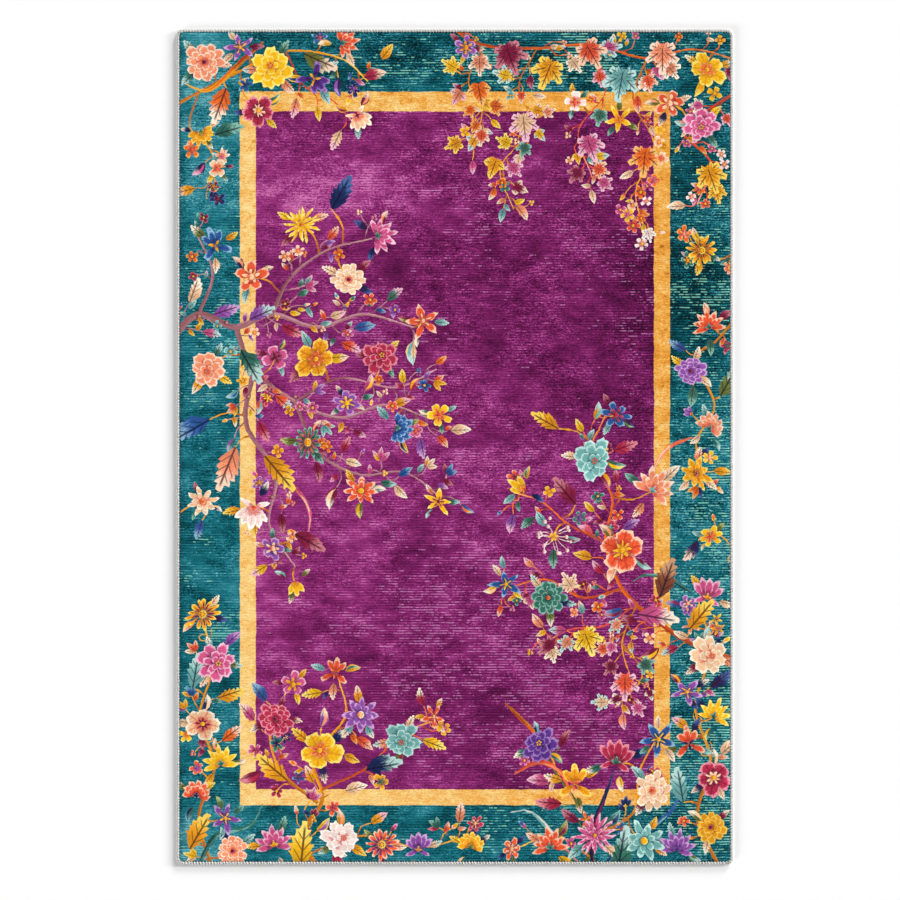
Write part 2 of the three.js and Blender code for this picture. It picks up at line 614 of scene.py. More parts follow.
# Stems, twigs and strap leaves are ribbons along a smooth line through a few points
def smoothLine(points, step=drawing["lineStep"]):
    p = np.array(points, float)
    p = np.vstack([2 * p[0] - p[1], p, 2 * p[-1] - p[-2]])
    line = []
    for a, b, c, d in zip(p[:-3], p[1:-2], p[2:-1], p[3:]):
        count = max(2, int(np.linalg.norm(c - b) / step))
        for i in range(count):
            t = i / count
            bent = (2 * a - 5 * b + 4 * c - d) * t**2 + (3 * b - a - 3 * c + d) * t**3
            line.append(0.5 * (2 * b + (c - a) * t + bent))
    line.append(p[-2])
    return np.array(line)


def ribbon(line, widths, triple, layer, rim=0.25, rough=0.25, offset=0.0):
    ways = np.gradient(line, axis=0)
    ways /= np.maximum(np.linalg.norm(ways, axis=1), 1e-9)[:, None]
    across = np.stack([-ways[:, 1], ways[:, 0]], axis=1)
    share = np.linspace(0, 1, len(line))
    half = np.interp(share, np.linspace(0, 1, len(widths)), widths) / 2
    wobble = np.array([[hand.uniform(-1, 1) * rough for _ in range(2)] for _ in line])
    middle = line + wobble + across * (offset * half)[:, None]
    left, right = middle + across * half[:, None], middle - across * half[:, None]
    span = line[-1] - line[0]
    reach = float(np.linalg.norm(span)) or 1.0
    middle, along = tuple((line[0] + line[-1]) / 2), tuple(span / reach)
    addShape(layer, [*left, *right[::-1]], middle, along, reach / 2, reach, triple, 0, rim)


def strapLeaf(points, width, ink, foldInk):
    line = smoothLine(points, 14)
    fold = (width * 0.2, width * 0.5, width * 0.45, 0.5, 0.3)
    ribbon(line, (width * 0.4, width, width, width * 0.6, 0.6), varied(inks[ink]), 1.5, 0.2)
    ribbon(line, fold, varied(inks[foldInk]), 1.6, 0.2, offset=-0.8)


def tendril(x, y, size, turn, ink, side):
    way = np.array([math.cos(math.radians(turn)), math.sin(math.radians(turn))])
    points = []
    for i in range(15):
        t = i / 14
        a = math.radians(turn) + side * 5.2 * t**1.4
        coil = size * (1 - 0.72 * t) * np.array([math.cos(a), math.sin(a)])
        points.append(np.array([x, y]) + (1.6 * t - 1) * size * way + coil)
    ribbon(np.array(points), (1.8, 2.2, 1.4), inks[ink], 0.9)


def isFree(x, y, reach, slack=0.8):
    return all((x - cx) ** 2 + (y - cy) ** 2 > (slack * (reach + cr)) ** 2 for cx, cy, cr in claimed)


def claim(x, y, reach):
    claimed.append((x, y, reach))


def towards(x, y, reach, way):
    return x + reach * math.cos(way), y + reach * math.sin(way)


# Large flowers and leaves: kind, x, y, half width, turn, ink, heart or veins
largeMotifs = [
    # the top left corner
    ("rosette", -548, 842, 44, 0, "peach", "wine"),
    ("star", -470, 874, 32, 0, "lilac", "yellow"),
    ("peony", -400, 826, 48, 0, "yellow", "coral"),
    ("toothedLeaf", -330, 860, 40, -24, "olive", "peach"),
    ("iris", -308, 806, 42, -50, "violet", "gold"),
    ("toothedLeaf", -500, 786, 42, -110, "orange", "cream"),
    ("lotus", -246, 884, 38, 10, "coral", "teal"),
    ("hibiscus", -430, 736, 38, 0, "rose", "cream"),
    ("magnolia", -214, 726, 36, -60, "cream", "wine"),
    ("carnation", -556, 690, 34, -70, "gold", "olive"),
    ("fourPetal", -520, 610, 24, 0, "cream", "coral"),
    # the top right, with what hangs from it
    ("lobedLeaf", 116, 866, 48, -70, "wine", "orange"),
    ("lobedLeaf", 208, 832, 46, -112, "gold", "wine"),
    ("ivyLeaf", 52, 786, 38, -80, "orange", "wine"),
    ("lobedLeaf", 292, 872, 44, -60, "coral", "brown"),
    ("lobedLeaf", 366, 812, 50, -100, "aqua", "teal"),
    ("fourPetal", 262, 754, 26, 0, "white", "coral"),
    ("lobedLeaf", 454, 868, 46, -90, "peach", "wine"),
    ("hibiscus", 552, 826, 42, 0, "yellow", "coral"),
    ("lobedLeaf", 150, 716, 42, -84, "cream", "pink"),
    ("ivyLeaf", 88, 622, 34, -110, "gold", "wine"),
    ("lobedLeaf", 292, 668, 40, -70, "pink", "wine"),
    ("blossom", 470, 752, 34, 0, "coral", "cream"),
    ("star", 360, 716, 30, 0, "yellow", "orange"),
    ("peony", 540, 706, 42, 0, "pink", "yellow"),
    ("lobedLeaf", 416, 640, 44, -96, "orange", "wine"),
    ("lobedLeaf", 556, 602, 44, -70, "gold", "brown"),
    ("sixPetal", 24, 874, 28, 0, "lilac", "gold"),
    # down the right border
    ("aster", 540, 430, 34, 0, "gold", "brown"),
    ("lotus", 556, 262, 40, 100, "coral", "teal"),
    ("rosette", 516, 166, 36, 0, "lilac", "wine"),
    ("toothedLeaf", 580, 110, 40, 60, "olive", "aqua"),
    ("carnation", 556, 40, 38, 60, "peach", "teal"),
    ("openLotus", 528, -58, 36, 0, "gold", "wine"),
    ("sixPetal", 560, -196, 28, 0, "yellow", "coral"),
    ("magnolia", 552, -330, 44, 80, "pink", "gold"),
    ("toothedLeaf", 512, -400, 42, 50, "gold", "orange"),
    ("peony", 556, -456, 44, 0, "cream", "coral"),
    ("star", 508, -536, 34, 0, "lilac", "yellow"),
    ("lotus", 566, -590, 40, 70, "yellow", "teal"),
    ("iris", 512, -650, 42, 100, "coral", "navy"),
    ("hibiscus", 566, -724, 40, 0, "rose", "cream"),
    ("toothedLeaf", 500, -778, 40, 100, "aqua", "aqua"),
    ("rosette", 560, -832, 38, 0, "gold", "wine"),
    # the right of the field
    ("peony", 300, -26, 50, 0, "aqua", "coral"),
    ("hibiscus", 366, -226, 54, 0, "coral", "yellow"),
    ("sixPetal", 352, 70, 34, 0, "blue", "rose"),
    ("lotus", 432, -96, 52, 56, "peach", "aqua"),
    ("seedHead", 216, -196, 44, 0, "white", "yellow"),
    ("rosette", 204, -330, 40, 0, "teal", "coral"),
    ("tulip", 150, -92, 36, 150, "yellow", "orange"),
    ("toothedLeaf", 264, -126, 38, 130, "wine", "rose"),
    ("toothedLeaf", 448, -330, 46, 70, "brown", "teal"),
    ("toothedLeaf", 400, -366, 46, -10, "pink", "cream"),
    ("lobedLeaf", 286, -412, 42, -70, "yellow", "orange"),
    ("lobedLeaf", 372, -510, 40, -90, "coral", "pink"),
    ("star", 112, -300, 34, 0, "blue", "yellow"),
    ("toothedLeaf", 226, 40, 34, 150, "gold", "wine"),
    # the flowering branch at the left
    ("iris", -524, 440, 42, 110, "blue", "gold"),
    ("curledFlower", -336, 486, 42, 0, "yellow", "orange"),
    ("blossom", -446, 372, 38, 0, "coral", "cream"),
    ("toothedLeaf", -270, 520, 42, 60, "navy", "blue"),
    ("lotus", -170, 462, 42, 10, "pink", "teal"),
    ("rosette", -232, 366, 40, 0, "cream", "wine"),
    ("star", -70, 276, 40, 0, "coral", "cream"),
    ("hibiscus", -304, 192, 46, 0, "gold", "coral"),
    ("peony", -164, 196, 38, 0, "rose", "yellow"),
    ("fourPetal", -392, 196, 30, 0, "pink", "wine"),
    ("peony", -540, 172, 42, 0, "peach", "coral"),
    ("toothedLeaf", -470, 214, 44, -60, "teal", "aqua"),
    ("carnation", -128, 42, 40, -10, "blue", "teal"),
    ("sixPetal", -236, 96, 30, 0, "lilac", "yellow"),
    ("blossom", -34, 70, 30, 0, "yellow", "coral"),
    ("aster", -322, 10, 38, 0, "teal", "coral"),
    ("toothedLeaf", -416, -20, 50, -50, "gold", "wine"),
    ("toothedLeaf", -480, 0, 52, -112, "peach", "peach"),
    ("toothedLeaf", -536, 60, 46, -150, "blue", "blue"),
    ("magnolia", -440, -132, 46, -100, "white", "coral"),
    ("openLotus", -206, -96, 38, 0, "coral", "yellow"),
    ("star", -36, -120, 32, 0, "yellow", "wine"),
    ("tulip", -350, -296, 32, -80, "yellow", "orange"),
    ("blossom", -398, -222, 30, 0, "lilac", "cream"),
    ("toothedLeaf", -350, -190, 38, -30, "wine", "rose"),
    ("openLotus", -552, -120, 34, 0, "cream", "coral"),
    # down the left border
    ("aster", -552, -366, 38, 0, "gold", "wine"),
    ("peony", -524, -470, 42, 0, "pink", "yellow"),
    ("toothedLeaf", -574, -530, 40, 80, "aqua", "teal"),
    ("hibiscus", -552, -606, 42, 0, "cream", "wine"),
    ("lotus", -512, -694, 42, 100, "yellow", "teal"),
    ("carnation", -566, -764, 38, 80, "coral", "navy"),
    ("star", -502, -812, 34, 0, "lilac", "yellow"),
    ("toothedLeaf", -580, -880, 44, 60, "gold", "orange"),
    ("rosette", -486, -884, 38, 0, "peach", "wine"),
    # the shrub at the bottom left
    ("hibiscus", -296, -664, 50, 0, "yellow", "coral"),
    ("rosette", -392, -596, 40, 0, "rose", "wine"),
    ("openLotus", -206, -586, 42, 0, "lilac", "cream"),
    ("iris", -262, -494, 36, 80, "coral", "orange"),
    ("blossom", -354, -520, 30, 0, "pink", "gold"),
    ("peony", -116, -640, 40, 0, "aqua", "coral"),
    ("star", -46, -590, 30, 0, "coral", "cream"),
    ("toothedLeaf", -196, -706, 42, 10, "navy", "aqua"),
    ("toothedLeaf", -366, -730, 44, 140, "gold", "wine"),
    ("lotus", -396, -872, 46, 96, "pink", "gold"),
    ("toothedLeaf", -338, -926, 54, 84, "yellow", "orange"),
    ("peony", -250, -858, 42, 0, "white", "coral"),
    ("aster", -160, -870, 36, 0, "coral", "violet"),
    ("magnolia", -80, -882, 38, 90, "lilac", "gold"),
    ("carnation", 34, -876, 36, 80, "gold", "olive"),
    # the bottom right
    ("peony", 186, -654, 42, 0, "violet", "yellow"),
    ("iris", 262, -738, 46, 90, "gold", "coral"),
    ("magnolia", 352, -690, 50, 80, "rose", "teal"),
    ("star", 446, -640, 38, 0, "blue", "yellow"),
    ("rosette", 432, -752, 44, 0, "cream", "coral"),
    ("curledFlower", 306, -850, 48, 0, "pink", "gold"),
    ("lotus", 208, -876, 44, 100, "coral", "teal"),
    ("openLotus", 414, -862, 44, 0, "aqua", "yellow"),
    ("toothedLeaf", 356, -926, 50, 80, "teal", "aqua"),
    ("lotus", 486, -880, 44, 80, "lilac", "violet"),
    ("sixPetal", 124, -880, 26, 0, "coral", "cream"),
]

# Sprays: a stem's widths, its ink, how far its twigs reach, how close they are, what they bear,
# and the points it runs through
sprays = [
    ((7, 3), "gold", (32, 58), 34, "garden",
     [(-622, 742), (-560, 776), (-470, 822), (-370, 866), (-250, 850), (-190, 800)]),
    ((4, 2), "coral", (26, 44), 36, "garden",
     [(-370, 866), (-330, 790), (-270, 760), (-214, 700)]),
    ((4, 2), "gold", (24, 40), 36, "garden",
     [(-560, 776), (-580, 700), (-530, 640), (-536, 560)]),
    ((7, 3), "orange", (28, 50), 30, "autumn",
     [(-20, 926), (60, 880), (180, 872), (300, 880), (420, 850), (520, 870), (620, 846)]),
    ((3, 1.6), "gold", (22, 38), 25, "autumn",
     [(60, 880), (30, 800), (60, 730), (30, 660)]),
    ((3, 1.6), "gold", (22, 38), 24, "autumn",
     [(180, 872), (140, 790), (166, 700), (100, 610), (128, 520)]),
    ((3, 1.6), "coral", (20, 36), 25, "autumn",
     [(300, 880), (330, 780), (270, 690), (300, 590)]),
    ((4, 2), "gold", (22, 40), 26, "blossoms",
     [(420, 850), (390, 760), (436, 660), (396, 560), (420, 460)]),
    ((7, 3), "coral", (26, 44), 32, "blossoms",
     [(622, 780), (560, 740), (500, 690), (560, 620), (530, 530)]),
    ((4, 2), "gold", (24, 38), 44, "garden",
     [(622, 440), (580, 410), (520, 440)]),
    ((6, 3), "gold", (26, 44), 38, "garden",
     [(622, 290), (570, 230), (526, 190), (568, 90), (528, 10), (552, -80)]),
    ((4, 2), "gold", (22, 36), 44, "garden",
     [(622, -250), (590, -200), (550, -180)]),
    ((8, 3), "gold", (26, 46), 32, "garden",
     [(582, -925), (530, -810), (560, -690), (526, -570), (558, -450), (532, -330)]),
    ((15, 13, 11, 8, 6, 3), "tan", (32, 58), 30, "orchard",
     [(-622, 236), (-560, 290), (-480, 262), (-400, 290), (-300, 262), (-200, 290), (-90, 262)]),
    ((9, 5, 3), "tan", (30, 54), 30, "orchard",
     [(-400, 290), (-360, 370), (-280, 430), (-180, 456)]),
    ((11, 8, 6, 3), "tan", (30, 56), 30, "orchard",
     [(-480, 262), (-440, 170), (-350, 100), (-250, 64), (-150, 92), (-50, 60)]),
    ((12, 8, 3), "tan", (28, 50), 32, "orchard",
     [(-440, 170), (-456, 50), (-392, -60), (-406, -170), (-350, -262)]),
    ((8, 3), "tan", (26, 44), 34, "orchard",
     [(-560, 290), (-530, 380), (-566, 470)]),
    ((8, 5, 2.6), "tan", (28, 50), 30, "orchard",
     [(-350, 100), (-300, -10), (-210, -60), (-110, -56), (-30, -110)]),
    ((4, 2), "gold", (22, 36), 44, "garden",
     [(-622, -160), (-580, -130), (-540, -130)]),
    ((7, 3), "gold", (28, 48), 33, "garden",
     [(-530, -925), (-560, -810), (-526, -700), (-558, -590), (-530, -480), (-552, -376)]),
    ((13, 7, 3), "gold", (30, 54), 29, "garden",
     [(-300, -925), (-334, -850), (-290, -770), (-310, -680), (-240, -590), (-256, -500)]),
    ((8, 3), "gold", (28, 50), 28, "garden",
     [(-300, -780), (-380, -710), (-404, -620), (-366, -530)]),
    ((6, 3), "orange", (28, 50), 28, "garden",
     [(-292, -750), (-190, -700), (-120, -630), (-50, -600)]),
    ((5, 3), "gold", (24, 42), 34, "garden",
     [(-320, -890), (-200, -850), (-80, -876), (40, -850)]),
    ((8, 3), "olive", (26, 46), 34, "garden",
     [(280, -925), (306, -850), (268, -780), (226, -720), (176, -640)]),
    ((6, 3), "gold", (26, 46), 34, "garden",
     [(306, -850), (390, -800), (404, -710), (446, -630)]),
    ((5, 2), "gold", (24, 40), 36, "garden",
     [(300, -900), (220, -850), (130, -880)]),
    ((12, 9, 6, 3), "orange", (30, 54), 27, "orchard",
     [(622, -470), (520, -430), (440, -380), (366, -310), (330, -210), (344, -110), (296, -20), (330, 70)]),
    ((6, 2.4), "orange", (28, 50), 26, "autumn",
     [(366, -310), (280, -330), (200, -290), (110, -310)]),
    ((5, 2.4), "orange", (28, 48), 28, "orchard",
     [(330, -210), (250, -170), (190, -120), (130, -100)]),
    ((4, 2), "gold", (26, 46), 26, "autumn",
     [(400, -340), (366, -430), (390, -520)]),
    ((4, 2), "coral", (22, 40), 25, "autumn",
     [(400, -340), (330, -390), (250, -400), (180, -440)]),
    ((4, 2), "gold", (22, 40), 26, "autumn",
     [(366, -430), (410, -500), (350, -570)]),
    ((5, 3), "tan", (24, 42), 26, "orchard",
     [(-350, 100), (-250, 150), (-130, 130), (-40, 170)]),
]

# What grows on twigs: kind, share, least and most half width, and the inks it comes in
mixes = {
    "garden": (
        [("plainLeaf", 4, 16, 27), ("foldedLeaf", 3, 17, 28), ("toothedLeaf", 4, 20, 34),
         ("blossom", 3, 14, 22), ("star", 2, 14, 20), ("bud", 2, 14, 22), ("sixPetal", 1, 14, 20),
         ("tulip", 1, 16, 22), ("berries", 1, 11, 15), ("sprig", 2, 16, 22)],
        "gold yellow coral pink peach lilac orange cream blue rose teal navy wine".split(),
    ),
    "autumn": (
        [("lobedLeaf", 5, 19, 33), ("plainLeaf", 3, 14, 22), ("fourPetal", 4, 10, 15),
         ("berries", 3, 10, 13), ("ivyLeaf", 3, 17, 28)],
        "orange gold coral wine teal cream yellow aqua peach pink".split(),
    ),
    "blossoms": (
        [("fourPetal", 5, 11, 18), ("blossom", 4, 12, 20), ("plainLeaf", 3, 14, 22), ("bud", 2, 12, 17),
         ("star", 2, 12, 17), ("lobedLeaf", 3, 18, 30)],
        "cream yellow coral gold orange pink white".split(),
    ),
    "orchard": (
        [("blossom", 4, 13, 20), ("fourPetal", 2, 12, 16), ("plainLeaf", 4, 15, 25), ("berries", 2, 10, 13),
         ("toothedLeaf", 6, 18, 32), ("bud", 2, 13, 19), ("foldedLeaf", 3, 16, 27), ("sprig", 2, 16, 22)],
        "gold yellow coral blue pink teal orange lilac cream rose aqua wine".split(),
    ),
}
strapLeaves = [
    ([(110, -560), (150, -600), (196, -650), (230, -720)], 9, "gold", "orange"),
    ([(130, -716), (180, -690), (230, -710), (262, -780)], 10, "coral", "peach"),
    ([(300, -910), (300, -840), (330, -760), (350, -700)], 12, "navy", "wine"),
    ([(330, -910), (390, -860), (470, -800), (500, -740)], 12, "blue", "aqua"),
    ([(270, -910), (240, -880), (170, -800), (120, -800)], 11, "aqua", "white"),
    ([(-560, -910), (-520, -850), (-450, -830), (-420, -780)], 12, "teal", "aqua"),
    ([(-420, 886), (-470, 840), (-540, 780), (-600, 800)], 11, "gold", "orange"),
    ([(520, -320), (470, -290), (420, -280), (380, -300)], 9, "teal", "aqua"),
    ([(-400, -60), (-356, -84), (-318, -140), (-326, -226)], 8, "pink", "cream"),
    ([(520, 20), (470, 0), (440, -40), (430, -90)], 8, "peach", "cream"),
]
tendrils = [
    (560, -270, 26, 80, "gold", 1), (500, -590, 24, 60, "gold", -1), (590, -650, 24, 100, "gold", 1),
    (-580, -420, 24, 80, "gold", 1), (-590, -660, 22, 100, "gold", -1), (-586, 540, 24, -90, "gold", 1),
    (70, -190, 24, 170, "orange", 1), (-20, -540, 22, 60, "orange", -1),
    (580, 330, 22, 90, "gold", -1), (372, 160, 20, 60, "orange", 1), (-590, 100, 22, -80, "cream", 1),
]
knots = [(-500, 272), (-410, 284), (-452, 110), (-350, 110), (-560, 286), (-400, -110)]
growth = {
    "spraySeed": 100,  # and the spray's number on top
    "stalkSeed": 7,
    "edgeGap": 6,  # millimetres kept clear inside the rug's edge
    "twigCurve": 0.5,
    "forkReach": 38,  # twigs longer than this may fork
    "forkShare": 0.7,
    "smallLeaf": (9, 14),
    "smallLeafShare": 0.55,
    "stalkGap": (12, 150),  # a flower nearer or farther than this has no stalk
    "stalkInk": "gold",
    "leafInks": ("teal", "aqua", "gold", "olive", "navy", "peach", "wine", "yellow", "cream"),
    "leafKinds": ("toothedLeaf", "plainLeaf", "foldedLeaf", "toothedLeaf"),  # toothed ones are commoner
    "branchWide": 5,  # a stem wider than this at its foot has a shaded side
}


def growTwig(rnd, start, way, ink, reaches, mix, depth=0):
    reach = rnd.uniform(*reaches) * (1.0 if depth == 0 else 0.7)
    rows, choice = mixes[mix]
    kind, _, low, high = rnd.choices(rows, [row[1] for row in rows])[0]
    size = rnd.uniform(low, high)
    curve = rnd.uniform(-growth["twigCurve"], growth["twigCurve"])
    tip = np.array(towards(*start, reach, way + curve))
    grows = 2 * size if kind in longKinds else size
    end = way + 1.5 * curve
    centre = towards(*tip, grows / 2, end)
    offRug = abs(centre[0]) > halfWide - growth["edgeGap"] or abs(centre[1]) > halfLong - growth["edgeGap"]
    if offRug or not isFree(*centre, grows * 0.5):
        return
    bendPoint = towards(*start, 0.55 * reach, way)
    ribbon(smoothLine([start, bendPoint, tip], 12), (2.8, 1.8), varied(inks[ink]), 1.0 - 0.1 * depth)
    own, other = rnd.sample(choice, 2)
    drawMotif(kind, *tip, size, math.degrees(end), own, other, 2 + 0.3 * (grows == size))
    claim(*centre, grows * 0.5)
    for share in (0.35, 0.7):
        # a small leaf on the way
        side = rnd.choice((-1, 1))
        small = rnd.uniform(*growth["smallLeaf"])
        turn = way + side * rnd.uniform(0.7, 1.2)
        at = start + share * (tip - start)
        spot = towards(*at, small, turn)
        if rnd.random() < growth["smallLeafShare"] and isFree(*spot, small * 0.6):
            drawMotif("plainLeaf", *at, small, math.degrees(turn), *rnd.sample(choice, 2), 1.8)
            claim(*spot, small * 0.6)
    if depth == 0 and reach > growth["forkReach"] and rnd.random() < growth["forkShare"]:
        fork = start + 0.6 * (tip - start)
        growTwig(rnd, fork, way + rnd.choice((-1, 1)) * 0.9, ink, reaches, mix, 1)


def growSpray(number, line, ink, reaches, spacing, mix):
    rnd = random.Random(growth["spraySeed"] + number)
    steps = np.linalg.norm(np.diff(line, axis=0), axis=1)
    along = np.concatenate([[0], np.cumsum(steps)])

    def at(s):
        return np.array([np.interp(s, along, line[:, 0]), np.interp(s, along, line[:, 1])])

    s, side = spacing * 0.6, 1
    while s < along[-1]:
        ahead = at(s + 6) - at(s - 6)
        growTwig(rnd, at(s), math.atan2(ahead[1], ahead[0]) + side * rnd.uniform(0.5, 1.2), ink, reaches, mix)
        s += spacing * rnd.uniform(0.6, 1.1) / 2
        side = -side


def nearestStem(stemPoints, x, y):
    gaps = np.hypot(*(stemPoints - np.array([x, y])).T)
    return stemPoints[gaps.argmin()], gaps.min()


def drawLarge(rnd, stemPoints, kind, x, y, size, turn, ink, heart):
    # a flower hangs on a stalk from the nearest stem, with two or three leaves behind it
    drawMotif(kind, x, y, size, turn, ink, heart, 3)
    if kinds[kind] in leafKinds and kind not in longKinds:
        return
    near, gap = nearestStem(stemPoints, x, y)
    way = math.atan2(near[1] - y, near[0] - x)
    if growth["stalkGap"][0] < gap < growth["stalkGap"][1]:
        middle = (near + (x, y)) / 2 + 0.14 * gap * np.array([-math.sin(way), math.cos(way)])
        stalk = smoothLine([near, middle, (x, y)], 12)
        ribbon(stalk, (4, 2.6), varied(inks[growth["stalkInk"]]), 1.05)
    if kinds[kind] in leafKinds:
        return
    for turnAway in (rnd.uniform(0.7, 1.4), rnd.uniform(-1.4, -0.7), rnd.uniform(2.2, 4.0)):
        root = towards(x, y, size * 0.62, way + turnAway)
        grown = rnd.uniform(0.36, 0.52) * size
        spot = towards(*root, grown, way + turnAway)
        leaf = rnd.choice(growth["leafKinds"])
        pair = rnd.sample(growth["leafInks"], 2)
        if isFree(*spot, grown * 0.4, 0.6) or rnd.random() < 0.3:
            drawMotif(leaf, *root, grown, math.degrees(way + turnAway), *pair, 2.6)
            claim(*spot, grown * 0.7)


def drawPrint():
    lines = [smoothLine(spray[-1]) for spray in sprays]
    stemPoints = np.vstack(lines)
    for kind, x, y, size, turn, *_ in largeMotifs:
        middle = towards(x, y, size * (kind in longKinds), math.radians(turn))
        claim(*middle, size * (0.75 if kind in longKinds else 0.95))
    rnd = random.Random(growth["stalkSeed"])
    for row in largeMotifs:
        drawLarge(rnd, stemPoints, *row)
    for points, width, ink, foldInk in strapLeaves:
        strapLeaf(points, width, ink, foldInk)
        for x, y in smoothLine(points, 30):
            claim(x, y, width * 0.5)
    for number, (widths, ink, reaches, spacing, mix, _) in enumerate(sprays):
        ribbon(lines[number], widths, varied(inks[ink]), 1.1, 0.5)
        if widths[0] > growth["branchWide"]:
            # the shaded side of a branch
            shade = np.tile((inks[ink][0] + inks[ink][2]) / 2, (3, 1))
            ribbon(lines[number], [0.4 * width for width in widths], shade, 1.12, 0, 0.3, -1.3)
        growSpray(number, lines[number], ink, reaches, spacing, mix)
    for x, y, *form in tendrils:
        tendril(*nearestStem(stemPoints, x, y)[0], *form)
    for x, y in knots:
        Pen(x, y, 6, 0, 1.3, 0.8).dot(0, 0, 1, inks["brown"], 8, 0)
        Pen(x, y, 4, 0, 1.4, 0.7).dot(0, 0, 1, inks["tan"], 8, 0.9)
    shapes.sort(key=lambda shape: shape["layer"])
    print("print drawn:", len(shapes), "shapes,", sum(len(s["ring"]) for s in shapes), "outline points")


# The rug cloth
cloth = {
    "marginHigh": 3.3,  # pressed thin under the yarn
    "marginLow": 1.1,
    "pileFoot": 7.8,
    "pileEdge": 9.1,
    "undersideInset": 8.6,
    "gridInset": 16,
    "gridStep": 22.0,
    "gridShift": 0.35,  # every other row is moved by this share of a step
    "lieUneven": 0.28,
    "lieWave": 190.0,
    "lieInset": 70,  # the unevenness fades out from here to the edge
    "outlineStep": 40.0,
    "cornerSteps": 8,
    "mapStrip": 0.04,  # of the map, for the side and the underside
    "mapGap": 0.002,
    "inkGroups": 97,  # the brush marks differ from shape to shape
}


def insetOf(x, y):
    qx = np.abs(x) - (halfWide - cornerRadius)
    qy = np.abs(y) - (halfLong - cornerRadius)
    outside = np.hypot(np.maximum(qx, 0), np.maximum(qy, 0)) + np.minimum(np.maximum(qx, qy), 0)
    return cornerRadius - outside


def outlineAt(inset):
    radius = max(cornerRadius - inset, cornerRadius / 4)
    ax, ay = halfWide - inset - radius, halfLong - inset - radius
    corners = ((ax, ay), (-ax, ay), (-ax, -ay), (ax, -ay))
    ring = []
    for corner, (cx, cy) in enumerate(corners):
        for step in range(cloth["cornerSteps"] + 1):
            a = (corner + step / cloth["cornerSteps"]) * math.pi / 2
            ring.append((cx + radius * math.cos(a), cy + radius * math.sin(a)))
        nx, ny = corners[(corner + 1) % 4]
        a = (corner + 1) * math.pi / 2
        start = np.array(ring[-1])
        end = np.array([nx + radius * math.cos(a), ny + radius * math.sin(a)])
        count = int(np.linalg.norm(end - start) / cloth["outlineStep"])
        ring += [tuple(start + (end - start) * i / count) for i in range(1, count)]
    return ring


def smoothStep(value, low, high):
    t = np.clip((value - low) / (high - low), 0, 1)
    return t * t * (3 - 2 * t)


def topHeight(x, y):
    inset = insetOf(x, y)
    lift = smoothStep(inset, cloth["pileFoot"], cloth["pileEdge"])
    wave = cloth["lieWave"]
    across = np.sin(x / wave * 2.1 + 1.3 * np.sin(y / wave))
    along = np.cos(y / wave * 1.7 + 0.8 * np.sin(x / wave * 1.4))
    lie = cloth["lieUneven"] * (across * along) * smoothStep(inset, cloth["pileEdge"], cloth["lieInset"])
    return cloth["marginHigh"] + (pileHigh - cloth["marginHigh"]) * lift + lie


def topShape(held, centre):
    # the last shape drawn there, or -1 for bare ground
    for number in sorted(held, reverse=True):
        if number and (abs(centre - shapes[number - 1]["boxMiddle"]) < shapes[number - 1]["boxHalf"]).all():
            return number - 1
    return -1


def gridPoints():
    reachX, reachY = halfWide - cloth["gridInset"], halfLong - cloth["gridInset"]
    countX, countY = int(2 * reachX / cloth["gridStep"]), int(2 * reachY / cloth["gridStep"])
    shift = cloth["gridShift"]
    return [
        (-reachX + 2 * reachX * (i + shift * (j % 2)) / (countX + shift), -reachY + 2 * reachY * j / countY)
        for j in range(countY + 1)
        for i in range(countX + 1)
    ]


def layOut():
    # the top in plan: triangles that keep to every outline, and the shape that owns each one
    points, edges, faces = [], [], []

    def addRing(ring, isFace):
        first = len(points)
        points.extend(ring)
        numbers = list(range(first, len(points)))
        if isFace:
            faces.append(numbers)
        else:
            edges.extend(zip(numbers, numbers[1:] + numbers[:1]))

    addRing(outlineAt(clothInset), True)
    for inset in (cloth["pileFoot"], (cloth["pileFoot"] + cloth["pileEdge"]) / 2, cloth["pileEdge"]):
        addRing(outlineAt(inset), False)
    points.extend(gridPoints())
    for shape in shapes:
        addRing([tuple(p) for p in shape["ring"]], True)
    found = delaunay_2d_cdt([tuple(p) for p in points], edges, faces, 0, 1e-4, True)
    flat = np.array([tuple(v) for v in found[0]])
    triangles, owners = [], []
    for triangle, held in zip(found[2], found[5]):
        if 0 in held:
            triangles.append(triangle)
            owners.append(topShape(held, flat[list(triangle)].mean(axis=0)))
    used, triangles = np.unique(np.array(triangles), return_inverse=True)
    flat, triangles = flat[used], triangles.reshape(-1, 3)
    print("cloth top:", len(flat), "points,", len(triangles), "triangles")
    return flat, triangles, np.array(owners)


def rimOf(triangles):
    # the points along the top's rim, in order
    sides = np.concatenate([triangles[:, [0, 1]], triangles[:, [1, 2]], triangles[:, [2, 0]]])
    known = {tuple(side) for side in sides}
    after = {int(a): int(b) for a, b in sides if (b, a) not in known}
    rim = [next(iter(after))]
    while after[rim[-1]] != rim[0]:
        rim.append(after[rim[-1]])
    return rim


